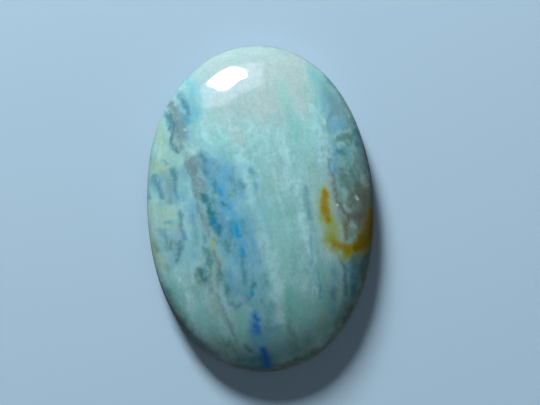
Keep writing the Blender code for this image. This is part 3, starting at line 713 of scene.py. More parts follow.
    ),
    # Frosty cleavage in the clearer parts, and painted glints: tiny pale dots that stand in for the window
    # mirrored in pits and facets.
    Pigment.FROST_AND_GLINT: (
        Streak(((8.3, 8.3, 0.14), (8.8, 8.4, 0.12)), 0.35),
        Streak(((8.4, 6.4, 0.14), (9.2, 6.8, 0.18), (9.9, 7.0, 0.12)), 0.25),
        Streak(((7.9, 4.9, 0.1), (8.5, 5.15, 0.12), (9.1, 5.5, 0.1)), 0.35),
        Streak(((9.9, 4.6, 0.14), (10.1, 4.0, 0.14), (9.9, 3.4, 0.1)), 0.25),
        Streak(((9.5, -2.9, 0.2), (9.6, -3.6, 0.25)), 0.4),
        Streak(((8.2, -3.0, 0.2), (8.3, -4.6, 0.25)), 0.35),
        Streak(((8.85, -1.25, 0.2), (9.0, -1.5, 0.2)), 0.35),
        # Painted glints from here on: pale dots where tiny pits and facets mirror the window.
        Streak(((10.1, -0.1, 0.05), (10.2, -0.4, 0.05)), 2.2, 0.8),
        Streak(((8.1, -1.1, 0.07), (8.14, -1.15, 0.07)), 3.0, 0.8),
        Streak(((8.27, 6.1, 0.06), (8.28, 6.08, 0.06)), 1.2, 0.8),
        Streak(((-7.4, 7.95, 0.1), (-7.3, 7.9, 0.1)), 0.7, 0.8),
        Streak(((4.75, 6.42, 0.06), (4.76, 6.4, 0.06)), 0.8, 0.8),
        Streak(((1.8, 4.25, 0.06), (1.82, 4.22, 0.06)), 0.7, 0.8),
        Streak(((1.9, 1.75, 0.06), (1.92, 1.72, 0.06)), 0.7, 0.8),
        Streak(((-8.7, -7.85, 0.1), (-8.6, -7.8, 0.1)), 0.6, 0.8),
        Streak(((0.45, -3.0, 0.05), (0.46, -3.02, 0.05)), 0.4, 0.8),
        Streak(((3.55, -12.4, 0.05), (3.56, -12.42, 0.05)), 0.6, 0.8),
    ),
    # Pin holes in the polish.
    Pigment.PIT: (
        Streak(((8.1, -1.15, 0.09), (8.12, -1.2, 0.09)), 1.0, 0.5),
        Streak(((10.05, -0.1, 0.06), (10.15, -0.5, 0.06)), 1.0, 0.5),
    ),
}


@dataclass
class CutStone:
    """The ground and polished stone, as one closed skin.

    Its width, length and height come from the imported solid, and the other sizes repeat that solid's own. The
    oval is a little fuller than an ellipse, and its left shoulder stands out slightly.
    """

    width: float
    length: float
    height: float
    bevel: float = 0.4 * MM
    wall: float = 1.5 * MM
    lean: float = 0.12 * MM
    fullness: float = 0.018
    dome_exponent: float = 1.6
    shoulder_rise: float = 0.12 * MM
    shoulder_angle: float = math.radians(154.0)
    shoulder_spread: float = math.radians(12.0)
    segments: int = 456
    dome_rings: int = 182
    wall_rings: int = 8
    bevel_rings: int = 3
    back_rings: int = 20
    dome_samples: int = 2001
    weld: float = 0.01 * MM
    sharp_angle: float = math.radians(25.0)

    def section(self) -> list[tuple[float, float]]:
        """Trace half of the stone's section, from the middle of its back to its crown.

        Returns:
            Pairs of share of the oval's reach and height in metres.
        """
        wall_top = self.bevel + self.wall
        rise = self.height - wall_top
        points = [(step / self.back_rings, 0.0) for step in range(self.back_rings)]
        points += [(1.0, self.bevel * step / self.bevel_rings) for step in range(self.bevel_rings)]
        points += [(1.0, self.bevel + self.wall * step / self.wall_rings) for step in range(self.wall_rings)]
        turns = np.linspace(0.0, math.pi / 2.0, self.dome_samples)
        shares = np.cos(turns)
        heights = wall_top + rise * np.sin(turns) ** (2.0 / self.dome_exponent)
        steps = np.hypot(np.diff(shares) * self.length / 2.0, np.diff(heights))
        travelled = np.concatenate(([0.0], np.cumsum(steps)))
        wanted = np.linspace(0.0, travelled[-1], self.dome_rings + 1)
        points += list(zip(np.interp(wanted, travelled, shares), np.interp(wanted, travelled, heights)))
        return [(float(share), float(z)) for share, z in points]

    def spin_section(self) -> bpy.types.Object:
        """Draw the section as a chain of edges and spin it into a round blank of unit reach.

        Returns:
            The blank, whose distance from its axis is a share of the oval's reach.
        """
        deselect_all()
        bpy.ops.mesh.primitive_plane_add(size=MM, location=(0.0, 0.0, 0.0))
        stone = bpy.context.object
        bpy.ops.object.mode_set(mode="EDIT")
        bpy.ops.mesh.select_all(action="SELECT")
        bpy.ops.mesh.merge(type="CENTER")
        points = self.section()
        for (share, z), (next_share, next_z) in zip(points, points[1:]):
            step = (next_share - share, 0.0, next_z - z)
            bpy.ops.mesh.extrude_region_move(TRANSFORM_OT_translate={"value": step})
        bpy.ops.mesh.select_all(action="SELECT")
        bpy.ops.mesh.spin(steps=self.segments, angle=math.tau, center=(0.0, 0.0, 0.0), axis=(0.0, 0.0, 1.0))
        bpy.ops.mesh.select_all(action="SELECT")
        bpy.ops.mesh.remove_doubles(threshold=self.weld)
        bpy.ops.mesh.normals_make_consistent(inside=False)
        bpy.ops.object.mode_set(mode="OBJECT")
        return stone

    def grind_oval(self, stone: bpy.types.Object) -> np.ndarray:
        """Press the round blank into the oval, with its wall's lean and the edge eased at the back.

        Args:
            stone: The round blank.

        Returns:
            The finished points, in metres.
        """
        points = np.empty(len(stone.data.vertices) * 3)
        stone.data.vertices.foreach_get("co", points)
        points = points.reshape(-1, 3)
        angle = np.arctan2(points[:, 1], points[:, 0])
        share = np.hypot(points[:, 0], points[:, 1])
        z = points[:, 2]
        below = np.clip(1.0 - z / self.bevel, 0.0, 1.0) * self.bevel
        above = np.clip((z - self.bevel) / self.wall, 0.0, 1.0) * self.lean
        turn = np.remainder(angle - self.shoulder_angle + math.pi, math.tau) - math.pi
        reach = self.shoulder_rise * np.exp(-(turn / self.shoulder_spread) ** 2) - below - above
        swell = 1.0 + self.fullness * np.sin(2.0 * angle) ** 2
        points[:, 0] = (self.width / 2.0 + reach) * swell * share * np.cos(angle)
        points[:, 1] = (self.length / 2.0 + reach) * swell * share * np.sin(angle)
        stone.data.vertices.foreach_set("co", points.ravel())
        stone.data.update()
        return points

    def depth_below_skin(self, points: np.ndarray) -> np.ndarray:
        """Measure how deep each point lies straight below the dome.

        Args:
            points: Places in metres.

        Returns:
            Depths in metres, which are nothing on the dome itself.
        """
        wall_top = self.bevel + self.wall
        share = np.hypot(points[:, 0] / (self.width / 2.0), points[:, 1] / (self.length / 2.0))
        lift = np.clip(1.0 - np.clip(share, 0.0, 1.0) ** 2, 0.0, 1.0) ** (1.0 / self.dome_exponent)
        dome = wall_top + (self.height - wall_top) * lift
        return np.where(points[:, 2] > wall_top, 0.0, dome - points[:, 2])

    def build(self) -> bpy.types.Object:
        """Make the whole skin and its markings.

        Returns:
            The finished piece.
        """
        stone = self.spin_section()
        stone.name = "polished_stone"
        stone.data.name = stone.name
        points = self.grind_oval(stone)
        Veining().mark(stone, points / MM, self.depth_below_skin(points) / MM)
        bpy.ops.object.shade_smooth_by_angle(angle=self.sharp_angle)
        return stone


@dataclass
class Veining:
    """The stone's markings, laid on its skin as one strength per pigment.

    The markings dip under the dome, so that lower down, on the wall and the back, each lies a little further
    to the left. They run out at tail half widths from their path, and bleed makes even the narrowest wide
    enough for the skin's points. Waver holds waves per millimetre with their reach in millimetres. A marking
    starts to fade at half its depth, and is gone at fade times its depth. The seed is set because Blender's
    noise otherwise starts from the clock.
    """

    dip: float = 0.35
    tail: float = 2.6
    bleed: float = 0.09
    waver: tuple[tuple[float, float], ...] = ((0.9, 0.2), (2.3, 0.15), (5.0, 0.06))
    fade: float = 1.5
    seed: int = 7

    def wavered(self, points: np.ndarray) -> np.ndarray:
        """Push places about a little, so that no marking keeps a drawn edge.

        Args:
            points: Places in millimetres.

        Returns:
            The pushed places.
        """
        noise.seed_set(self.seed)
        moved = points.copy()
        for frequency, amount in self.waver:
            moved += amount * np.array([noise.noise_vector(Vector(place * frequency)) for place in points])
        return moved

    def mark(self, stone: bpy.types.Object, points: np.ndarray, depth: np.ndarray) -> None:
        """Write the markings on the stone's points.

        Args:
            stone: The piece.
            points: Its points in millimetres.
            depth: How deep each lies below the dome, in millimetres.
        """
        places = self.wavered(points)
        places[:, 0] += self.dip * depth
        fields = {pigment: np.zeros(len(points)) for pigment in Pigment}
        for pigment, streaks in MARKINGS.items():
            for streak in streaks:
                self.lay(streak, places, depth, fields[pigment])
        for pigment, field in fields.items():
            layer = stone.data.attributes.new(pigment.value, "FLOAT", "POINT")
            layer.data.foreach_set("value", field.astype(np.float32))

    def lay(self, streak: Streak, places: np.ndarray, depth: np.ndarray, field: np.ndarray) -> None:
        """Add one streak to its pigment's field, which falls to half its strength at its half width.

        Args:
            streak: The marking.
            places: Wavered points in millimetres.
            depth: Their depth below the dome, in millimetres.
            field: The pigment's field, which is raised in place.
        """
        path = np.array(streak.path)
        bled = np.hypot(path[:, 2], self.bleed)
        thinned = path[:, 2].mean() / bled.mean()
        path[:, 2] = bled
        reach = self.tail * path[:, 2].max()
        low, high = path[:, :2].min(0) - reach, path[:, :2].max(0) + reach
        near = np.flatnonzero(np.all((places[:, :2] > low) & (places[:, :2] < high), axis=1))
        if len(near) == 0:
            return
        spot = places[near, :2]
        ratio = np.full(len(near), self.tail)
        for start, end in zip(path, path[1:]):
            along = end[:2] - start[:2]
            share = np.clip((spot - start[:2]) @ along / (along @ along), 0.0, 1.0)
            gap = np.hypot(*(spot - start[:2] - share[:, None] * along).T)
            ratio = np.minimum(ratio, gap / (start[2] + (end[2] - start[2]) * share))
        faded = np.clip(self.fade - depth[near] / streak.depth, 0.0, 1.0)
        field[near] += thinned * streak.strength * 0.5 ** (ratio ** 2) * faded


@dataclass(frozen=True)
class Tint:
    """How one pigment colours the stone: thinly laid, thickly laid, and the texture that breaks it up.

    The more ragged it is, the more the texture thins and gathers it. Density is how much a given strength
    covers.
    """

    pigment: Pigment
    thin: str
    thick: str
    texture: Texture
    ragged: float
    density: float = 1.0


@dataclass(frozen=True)
class Grain:
    """How one texture is drawn: along the bands or not, how stretched, how fine and with how much detail."""

    texture: Texture
    banded: bool
    stretch: tuple[float, float, float]
    per_mm: float
    detail: float


@dataclass(frozen=True)
class PolishedOnyx:
    """Banded calcite onyx, cut and polished with oxide on the dome, lapped matt on the back.

    Calcite has an index near 1.58, so the dome gives a clear, slightly soft image of the window. Light
    goes a fraction of a millimetre into it, which softens the markings and makes the pale parts milky. Its
    bands lean 10 degrees from the stone's length and dip 20 degrees.
    """

    lean: float = math.radians(-10.0)
    dip: float = math.radians(20.0)
    ior: float = 1.58
    translucency: float = 0.5
    light_depth: float = 0.25 * MM
    dome_roughness: tuple[float, float] = (0.035, 0.07)
    back_roughness: float = 0.45
    # The ground back ends, and the polish starts, between these heights in millimetres.
    back_edge: tuple[float, float] = (0.02, 0.3)
    # The bands wander sideways over about 8 mm.
    wander_per_mm: float = 0.13
    wander_reach: tuple[float, float, float] = (2.6, 1.5, 1.5)
    grains: tuple[Grain, ...] = (
        # Strands in the bands, about 0.9 mm wide and six times as long.
        Grain(Texture.STRAND, True, (1.0, 0.16, 0.6), 1.1, 5.0),
        # Calcite fibres of a tenth of a millimetre, drawn 0.25 mm wide, as finer ones don't show.
        Grain(Texture.FIBRE, True, (1.0, 0.12, 0.6), 4.0, 3.0),
        # Mottles about 0.7 mm across.
        Grain(Texture.MOTTLE, False, (1.0, 0.8, 1.0), 1.5, 5.0),
        # Crystal grains of 0.1 to 0.3 mm, drawn at the coarse end, as finer ones don't show.
        Grain(Texture.GRAIN, False, (1.0, 0.8, 1.0), 3.6, 4.0),
    )
    grain_roughness: float = 0.62
    grain_range: tuple[float, float] = (0.32, 0.68)
    haze_range: tuple[float, float] = (0.35, 1.65)
    # Bands about 2.4 mm wide and nine times as long, with clouds about as wide across them.
    band_per_mm: float = 0.42
    band_stretch: tuple[float, float, float] = (1.0, 0.11, 0.6)
    band_roughness: float = 0.55
    band_weight: float = 1.5
    cloud_per_mm: float = 0.45
    cloud_weight: float = 0.5
    band_offset: float = -0.78
    band_grain: tuple[tuple[Texture, float], ...] = (
        (Texture.STRAND, 0.22), (Texture.MOTTLE, 0.16), (Texture.FIBRE, 0.1), (Texture.GRAIN, 0.08),
    )
    base: str = "86BCBE"
    # Each paler band, with the levels between which it comes in.
    banding: tuple[tuple[str, float, float], ...] = (
        ("8FC4C7", 0.30, 0.50),
        ("99C9CE", 0.45, 0.64),
        ("AAD1D7", 0.60, 0.85),
    )
    lightness: float = 0.86
    lightness_grain: tuple[tuple[Texture, float], ...] = (
        (Texture.GRAIN, 0.10), (Texture.FIBRE, 0.05), (Texture.MOTTLE, 0.13),
    )
    # Hand polishing leaves swells a millimetre or two wide, and lapping leaves scratches along the back.
    swell_per_mm: float = 0.7
    swell_height: float = 0.006 * MM
    lap_stretch: tuple[float, float, float] = (8.0, 0.6, 1.0)
    lap_depth: float = 0.01 * MM
    pit_depth: float = 0.08 * MM
    pit_edge: tuple[float, float] = (0.2, 0.9)
    # The pigments, in the order in which they lie over the pale banding.
    tints: tuple[Tint, ...] = (
        Tint(Pigment.LILAC, "9EBABB", "A1B8B9", Texture.HAZE, 0.45, 1.15),
        # Milk also paints the reflection on the lower left rim.
        Tint(Pigment.MILK_AND_RIM_REFLECTION, "9CCFD5", "A9D9E0", Texture.HAZE, 0.9, 1.3),
        Tint(Pigment.SEA, "88C4C0", "6FBDB8", Texture.HAZE, 0.9, 0.9),
        Tint(Pigment.CYAN, "7FBAC5", "64ACBE", Texture.HAZE, 0.9, 1.1),
        Tint(Pigment.CREAM, "9AC0B8", "9AB696", Texture.MOTTLE, 0.9, 1.1),
        Tint(Pigment.MOSS, "79A7A2", "5A8983", Texture.MOTTLE, 0.9, 1.1),
        Tint(Pigment.SLATE, "77B2C8", "569CC1", Texture.HAZE, 0.8, 1.1),
        Tint(Pigment.STEEL, "6C9CA8", "467C8C", Texture.GRAIN, 0.6, 1.2),
        Tint(Pigment.TAUPE, "81A4AA", "6C888E", Texture.MOTTLE, 0.9, 1.1),
        # Smoke also paints the shade along the rim of the foot.
        Tint(Pigment.SMOKE, "6E8C84", "526860", Texture.HAZE, 0.8, 1.2),
        Tint(Pigment.TEAL, "5A98A2", "2A7884", Texture.MOTTLE, 0.75, 1.2),
        Tint(Pigment.AZURE, "48A6CC", "1096D0", Texture.GRAIN, 0.6, 1.3),
        Tint(Pigment.NAVY, "3092C4", "0872CA", Texture.GRAIN, 0.5, 1.4),
        Tint(Pigment.STAIN, "9CB872", "94A02C", Texture.MOTTLE, 0.6, 1.3),
        Tint(Pigment.OCHRE, "9A8A10", "9C8400", Texture.MOTTLE, 0.5, 2.2),
        Tint(Pigment.AMBER, "8A7A00", "7E6E00", Texture.MOTTLE, 0.5, 2.2),
        Tint(Pigment.LINE, "6A929C", "4A747E", Texture.GRAIN, 0.9, 1.1),
        Tint(Pigment.RUST, "7A8074", "646058", Texture.GRAIN, 0.7, 1.4),
        # Frost also paints the glints.
        Tint(Pigment.FROST_AND_GLINT, "A0CAC8", "CBE5E3", Texture.GRAIN, 0.5, 1.4),
    )

    def build(self) -> bpy.types.Material:
        """Make the material.

        Returns:
            The finished material, which reads the stone's object coordinates and its pigment attributes.
        """
        material = bpy.data.materials.new("polished_banded_onyx")
        material.use_nodes = True
        tree = material.node_tree
        shader = tree.nodes["Principled BSDF"]
        place = add_node(tree, "ShaderNodeTexCoord", {}).outputs["Object"]
        mm = add_node(tree, "ShaderNodeVectorMath", {0: place, 3: 1.0 / MM}, operation="SCALE").outputs[0]
        banded = self.along_bands(tree, mm)
        textures = self.textures(tree, mm, banded)
        colour = self.pale_banding(tree, mm, banded, textures)
        for tint in self.tints:
            colour = self.stain(tree, colour, tint, textures[tint.texture])
        colour = self.speckle(tree, colour, textures)
        tree.links.new(colour, shader.inputs["Base Color"])
        self.polish(tree, shader, mm, textures)
        return material

    def along_bands(self, tree: bpy.types.NodeTree, mm: bpy.types.NodeSocket) -> bpy.types.NodeSocket:
        """Turn places so that Y runs along the bands, and let the bands wander.

        Args:
            tree: The material's node tree.
            mm: Places in millimetres.

        Returns:
            The turned places.
        """
        wander = add_node(tree, "ShaderNodeTexNoise",
                          {"Vector": mm, "Scale": self.wander_per_mm, "Detail": 2.0}).outputs["Color"]
        shift = add_node(tree, "ShaderNodeVectorMath", {0: wander, 1: (0.5, 0.5, 0.5)},
                         operation="SUBTRACT").outputs[0]
        moved = add_node(tree, "ShaderNodeVectorMath", {0: shift, 1: self.wander_reach, 2: mm},
                         operation="MULTIPLY_ADD").outputs[0]
        turn = (0.0, self.dip, self.lean)
        return add_node(tree, "ShaderNodeVectorRotate", {"Vector": moved, "Rotation": turn},
                        rotation_type="EULER_XYZ").outputs[0]

    def textures(self, tree: bpy.types.NodeTree, mm: bpy.types.NodeSocket,
                 banded: bpy.types.NodeSocket) -> dict[Texture, bpy.types.NodeSocket]:
        """Make the textures that break up the pigments, each spread over 0 to 1.

        Args:
            tree: The material's node tree.
            mm: Places in millimetres.
            banded: Places along the bands.

        Returns:
            One value per texture.
        """
        low, high = self.grain_range
        values = {}
        for grain in self.grains:
            source = banded if grain.banded else mm
            drawn = add_node(tree, "ShaderNodeVectorMath", {0: source, 1: grain.stretch},
                             operation="MULTIPLY").outputs[0]
            rough = add_node(tree, "ShaderNodeTexNoise",
                             {"Vector": drawn, "Scale": grain.per_mm, "Detail": grain.detail,
                              "Roughness": self.grain_roughness}).outputs[0]
            value = add_node(tree, "ShaderNodeMapRange", {0: rough, 1: low, 2: high}).outputs[0]
            values[grain.texture] = value
        both = add_node(tree, "ShaderNodeMath", {0: values[Texture.STRAND], 1: values[Texture.MOTTLE]},
                        operation="ADD").outputs[0]
        low, high = self.haze_range
        values[Texture.HAZE] = add_node(tree, "ShaderNodeMapRange", {0: both, 1: low, 2: high}).outputs[0]
        return values

    def pale_banding(self, tree: bpy.types.NodeTree, mm: bpy.types.NodeSocket, banded: bpy.types.NodeSocket,
                     textures: dict[Texture, bpy.types.NodeSocket]) -> bpy.types.NodeSocket:
        """Colour the stone's own pale bands.

        Args:
            tree: The material's node tree.
            mm: Places in millimetres.
            banded: Places along the bands.
            textures: The textures from textures().

        Returns:
            The colour.
        """
        drawn = add_node(tree, "ShaderNodeVectorMath", {0: banded, 1: self.band_stretch},
                         operation="MULTIPLY").outputs[0]
        broad = add_node(tree, "ShaderNodeTexNoise",
                         {"Vector": drawn, "Scale": self.band_per_mm, "Detail": 3.0,
                          "Roughness": self.band_roughness}).outputs[0]
        cloud = add_node(tree, "ShaderNodeTexNoise",
                         {"Vector": mm, "Scale": self.cloud_per_mm, "Detail": 4.0}).outputs[0]
        level = self.band_offset
        parts = [(broad, self.band_weight), (cloud, self.cloud_weight)]
        parts += [(textures[texture], weight) for texture, weight in self.band_grain]
        for value, weight in parts:
            level = add_node(tree, "ShaderNodeMath", {0: value, 1: weight, 2: level},
                             operation="MULTIPLY_ADD").outputs[0]
        colour = hex_to_linear(self.base)
        for code, low, high in self.banding:
            share = add_node(tree, "ShaderNodeMapRange", {0: level, 1: low, 2: high},
                             interpolation_type="SMOOTHSTEP").outputs[0]
            colour = add_node(tree, "ShaderNodeMix", {0: share, 6: colour, 7: hex_to_linear(code)},
                              data_type="RGBA").outputs[2]
        return colour

    def speckle(self, tree: bpy.types.NodeTree, colour: bpy.types.NodeSocket,
                textures: dict[Texture, bpy.types.NodeSocket]) -> bpy.types.NodeSocket:
        """Vary the whole stone's lightness a little, as its grains do.

        Args:
            tree: The material's node tree.
            colour: The colour so far.
            textures: The textures from textures().

        Returns:
            The varied colour.
        """
        level = self.lightness
        for texture, weight in self.lightness_grain:
            level = add_node(tree, "ShaderNodeMath", {0: textures[texture], 1: weight, 2: level},
                             operation="MULTIPLY_ADD").outputs[0]
        return add_node(tree, "ShaderNodeVectorMath", {0: colour, 3: level}, operation="SCALE").outputs[0]

    def stain(self, tree: bpy.types.NodeTree, colour: bpy.types.NodeSocket, tint: Tint,
              texture: bpy.types.NodeSocket) -> bpy.types.NodeSocket:
        """Lay one pigment over the colour: what passes through it falls off with its amount.

        Args:
            tree: The material's node tree.
            colour: The colour so far.
            tint: The pigment's look.
            texture: The texture that breaks it up.

        Returns:
            The colour with the pigment.
        """
        amount = add_node(tree, "ShaderNodeAttribute", {}, attribute_name=tint.pigment.value).outputs["Fac"]
        spread = 0.5 / tint.ragged
        broken = add_node(tree, "ShaderNodeMapRange",
                          {0: texture, 1: 0.5 - spread, 2: 0.5 + spread, 3: 0.0,
                           4: -2.0 * tint.density}).outputs[0]
        laid = add_node(tree, "ShaderNodeMath", {0: amount, 1: broken}, operation="MULTIPLY").outputs[0]
        passed = add_node(tree, "ShaderNodeMath", {0: laid}, operation="EXPONENT").outputs[0]
        thick, thin = hex_to_linear(tint.thick), hex_to_linear(tint.thin)
        body = add_node(tree, "ShaderNodeMix", {0: passed, 6: thick, 7: thin}, data_type="RGBA").outputs[2]
        return add_node(tree, "ShaderNodeMix", {0: passed, 6: body, 7: colour}, data_type="RGBA").outputs[2]

    def polish(self, tree: bpy.types.NodeTree, shader: bpy.types.Node, mm: bpy.types.NodeSocket,
               textures: dict[Texture, bpy.types.NodeSocket]) -> None:
        """Give the skin its gloss: polished dome and wall, matt back with lapping marks, tiny pin holes.

        Args:
            tree: The material's node tree.
            shader: The material's shader.
            mm: Places in millimetres.
            textures: The textures from textures().
        """
        shader.inputs["IOR"].default_value = self.ior
        shader.inputs["Subsurface Weight"].default_value = self.translucency
        shader.inputs["Subsurface Radius"].default_value = (1.0, 1.0, 1.0)
        shader.inputs["Subsurface Scale"].default_value = self.light_depth
        height = add_node(tree, "ShaderNodeSeparateXYZ", {0: mm}).outputs[2]
        low, high = self.back_edge
        back = add_node(tree, "ShaderNodeMapRange", {0: height, 1: low, 2: high, 3: 1.0, 4: 0.0}).outputs[0]
        low, high = self.dome_roughness
        mottle = textures[Texture.MOTTLE]
        gloss = add_node(tree, "ShaderNodeMapRange", {0: mottle, 3: low, 4: high}).outputs[0]
        rough = add_node(tree, "ShaderNodeMix", {0: back, 2: gloss, 3: self.back_roughness},
                         data_type="FLOAT").outputs[0]
        tree.links.new(rough, shader.inputs["Roughness"])
        swell = add_node(tree, "ShaderNodeTexNoise",
                         {"Vector": mm, "Scale": self.swell_per_mm, "Detail": 2.0}).outputs[0]
        waves = add_node(tree, "ShaderNodeBump",
                         {"Height": swell, "Distance": self.swell_height, "Strength": 1.0}).outputs[0]
        laps = add_node(tree, "ShaderNodeVectorMath", {0: mm, 1: self.lap_stretch},
                        operation="MULTIPLY").outputs[0]
        lapped = add_node(tree, "ShaderNodeTexNoise",
                          {"Vector": laps, "Scale": 1.0, "Detail": 3.0}).outputs[0]
        ground = add_node(tree, "ShaderNodeMath", {0: lapped, 1: back}, operation="MULTIPLY").outputs[0]
        lapping = add_node(tree, "ShaderNodeBump",
                           {"Height": ground, "Distance": self.lap_depth, "Strength": 1.0,
                            "Normal": waves}).outputs[0]
        hole = add_node(tree, "ShaderNodeAttribute", {}, attribute_name=Pigment.PIT.value).outputs["Fac"]
        low, high = self.pit_edge
        pit = add_node(tree, "ShaderNodeMapRange", {0: hole, 1: low, 2: high, 3: 1.0, 4: 0.0},
                       interpolation_type="SMOOTHSTEP").outputs[0]
        pitted = add_node(tree, "ShaderNodeBump",
                          {"Height": pit, "Distance": self.pit_depth, "Strength": 1.0,
                           "Normal": lapping}).outputs[0]
        tree.links.new(pitted, shader.inputs["Normal"])


@dataclass(frozen=True)
class Window:
    """A glowing pane that the dome mirrors.

    Its corners are bearings and heights in degrees as seen from the glint on the dome. One that is only
    mirrored lights nothing, which keeps its tint out of the stone's own colours.
    """

    name: str
    corners: tuple[tuple[float, float], ...]
    strength: float
    distance: float
    colour: tuple[float, float, float, float] = (1.0, 1.0, 1.0, 1.0)
    only_mirrored: bool = False


BRIGHT_WINDOW = Window("bright_window", (
    (-29.5, 25.0), (-28.5, 28.0), (-26.5, 31.0), (-25.0, 32.5), (-25.0, 35.0), (-23.5, 36.5), (-20.5, 38.0),
    (-13.0, 38.0), (-12.0, 36.5), (-9.5, 36.5), (-6.5, 36.0), (-5.0, 34.5), (-5.5, 31.5), (-7.0, 29.0),
    (-10.0, 26.0), (-13.5, 23.0), (-17.5, 22.5), (-21.5, 22.5), (-25.5, 23.0), (-28.5, 23.5),
), 79.0, 0.5)
SOFT_WINDOW = Window("soft_window", (
    (-32.0, 20.0), (-35.5, 24.5), (-36.0, 32.5), (-35.5, 38.5), (-27.5, 44.5), (-22.5, 46.0), (-17.0, 45.5),
    (-9.0, 44.5), (-2.5, 43.5), (3.0, 41.5), (4.5, 37.5), (3.5, 23.5), (-4.0, 23.0), (-9.5, 22.5),
), 2.6, 0.53, (0.86, 0.80, 1.12, 1.0), only_mirrored=True)


def direction(bearing: float, height: float) -> Vector:
    """Point from the stone to a place in the studio.

    Args:
        bearing: Degrees from +Y towards +X.
        height: Degrees above the table.

    Returns:
        The direction, of unit length.
    """
    turn = math.radians(bearing)
    climb = math.radians(height)
    return Vector((math.sin(turn) * math.cos(climb), math.cos(turn) * math.cos(climb), math.sin(climb)))


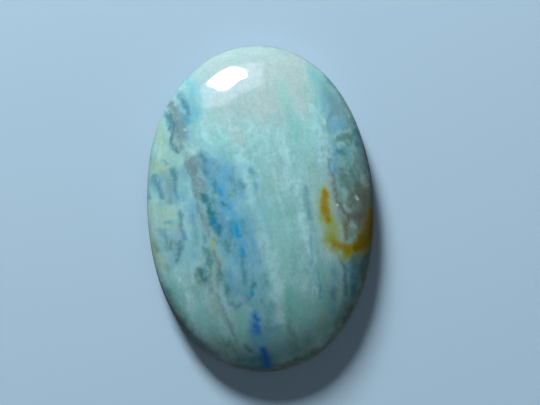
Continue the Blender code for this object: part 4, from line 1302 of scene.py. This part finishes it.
@dataclass
class Studio:
    """The pale table, the two parts of the window, a faint fill and the camera.

    The stone's middle stands at middle_px in the photograph, whose pixels are pixel wide at the stone. The
    camera's elevation, azimuth and roll are those at which the outline and the rim match.
    """

    frame_px: tuple[float, float] = (540.0, 405.0)
    middle_px: tuple[float, float] = (260.51, 207.47)
    middle_height: float = 0.4 * MM
    pixel: float = 0.1060 * MM
    distance: float = 0.2
    elevation: float = math.radians(78.0)
    azimuth: float = math.radians(8.0)
    roll: float = math.radians(2.985)
    film: float = 36.0
    clip_start: float = 0.01
    glint: tuple[float, float, float] = (-2.5 * MM, 13.3 * MM, 4.4 * MM)
    window_middle: tuple[float, float] = (-17.0, 31.0)
    fill_middle: tuple[float, float] = (135.0, 48.0)
    fill_spread: float = math.radians(17.0)
    fill_distance: float = 0.5
    fill_strength: float = 1.05
    room_colour: tuple[float, float, float, float] = (0.8, 0.9, 1.0, 1.0)
    room_strength: float = 0.06
    table_colour: str = "9DBBD0"
    table_size: float = 3.0
    table_roughness: float = 0.8

    def build(self) -> None:
        """Set up the whole studio."""
        self.table()
        self.window(BRIGHT_WINDOW)
        self.window(SOFT_WINDOW)
        self.fill()
        self.room()
        self.camera()

    def table(self) -> None:
        """Lay the plain pale table of painted board under the stone."""
        material = bpy.data.materials.new("painted_board")
        material.use_nodes = True
        shader = material.node_tree.nodes["Principled BSDF"]
        shader.inputs["Base Color"].default_value = hex_to_linear(self.table_colour)
        shader.inputs["Roughness"].default_value = self.table_roughness
        deselect_all()
        bpy.ops.mesh.primitive_plane_add(size=self.table_size, location=(0.0, 0.0, 0.0))
        table = bpy.context.object
        table.name = "table"
        table.data.materials.append(material)
        table.visible_diffuse = False
        table.visible_glossy = False
        table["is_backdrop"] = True

    def pane(self, name: str, corners: list[Vector], strength: float,
             colour: tuple[float, float, float, float]) -> bpy.types.Object:
        """Hang a glowing pane that the camera doesn't see.

        Args:
            name: Its name.
            corners: Its corners, in metres.
            strength: How strongly it glows.
            colour: Its light's linear colour.

        Returns:
            The pane.
        """
        mesh = bpy.data.meshes.new(name)
        mesh.from_pydata([tuple(corner) for corner in corners], [], [tuple(range(len(corners)))])
        pane = bpy.data.objects.new(name, mesh)
        bpy.context.scene.collection.objects.link(pane)
        material = bpy.data.materials.new(name)
        material.use_nodes = True
        tree = material.node_tree
        tree.nodes.clear()
        glow = add_node(tree, "ShaderNodeEmission", {"Strength": strength, "Color": colour}).outputs[0]
        add_node(tree, "ShaderNodeOutputMaterial", {0: glow})
        mesh.materials.append(material)
        pane.visible_camera = False
        pane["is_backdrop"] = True
        return pane

    def window(self, window: Window) -> None:
        """Hang one part of the window, flat and facing the glint.

        Args:
            window: The part.
        """
        axis = direction(*self.window_middle)
        sights = [direction(*corner) for corner in window.corners]
        corners = [Vector(self.glint) + sight * (window.distance / sight.dot(axis)) for sight in sights]
        pane = self.pane(window.name, corners, window.strength, window.colour)
        pane.visible_diffuse = not window.only_mirrored

    def fill(self) -> None:
        """Hang a faint square pane on the far side, which lifts the lower right and isn't mirrored."""
        sight = direction(*self.fill_middle)
        bearing = math.radians(self.fill_middle[0])
        across = Vector((math.cos(bearing), -math.sin(bearing), 0.0))
        along = sight.cross(across)
        reach = math.tan(self.fill_spread) * self.fill_distance
        corners = [sight * self.fill_distance + across * reach * side + along * reach * end
                   for side, end in ((-1, -1), (1, -1), (1, 1), (-1, 1))]
        pane = self.pane("fill", corners, self.fill_strength, (1.0, 1.0, 1.0, 1.0))
        pane.visible_glossy = False

    def room(self) -> None:
        """Light the rest of the room faintly."""
        world = bpy.data.worlds.new("room")
        world.use_nodes = True
        background = world.node_tree.nodes["Background"]
        background.inputs["Color"].default_value = self.room_colour
        background.inputs["Strength"].default_value = self.room_strength
        bpy.context.scene.world = world

    def camera(self) -> None:
        """Place the camera at the photograph's viewing angle."""
        back = Vector((math.sin(self.azimuth) * math.cos(self.elevation),
                       -math.cos(self.azimuth) * math.cos(self.elevation), math.sin(self.elevation)))
        up = (Vector((0.0, 1.0, 0.0)) - back * back.y).normalized()
        up.rotate(Matrix.Rotation(-self.roll, 3, back))
        right = up.cross(back)
        aside = (self.middle_px[0] - self.frame_px[0] / 2.0) * self.pixel
        above = (self.middle_px[1] - self.frame_px[1] / 2.0) * self.pixel
        middle = Vector((0.0, 0.0, self.middle_height))
        data = bpy.data.cameras.new("camera")
        data.sensor_width = self.film
        data.lens = self.film * self.distance / (self.frame_px[0] * self.pixel)
        data.clip_start = self.clip_start
        camera = bpy.data.objects.new("camera", data)
        bpy.context.scene.collection.objects.link(camera)
        turned = Matrix((right, up, back)).transposed().to_4x4()
        turned.translation = middle + back * self.distance - right * aside + up * above
        camera.matrix_world = turned
        bpy.context.scene.camera = camera


def main() -> None:
    """Build the stone, dress it and set up the studio."""
    logging.basicConfig(level=logging.INFO, format="%(message)s")
    low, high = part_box(NODE)
    stone = CutStone(width=high.x - low.x, length=high.y - low.y, height=high.z - low.z).build()
    stone.data.materials.append(PolishedOnyx().build())
    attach(stone, BODY)
    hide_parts(NODE)
    LOG.info("%s: %d points", stone.name, len(stone.data.vertices))
    Studio().build()
    bpy.context.scene.view_settings.view_transform = "Standard"
    low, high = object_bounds()


if __name__ == "__main__":
    main()
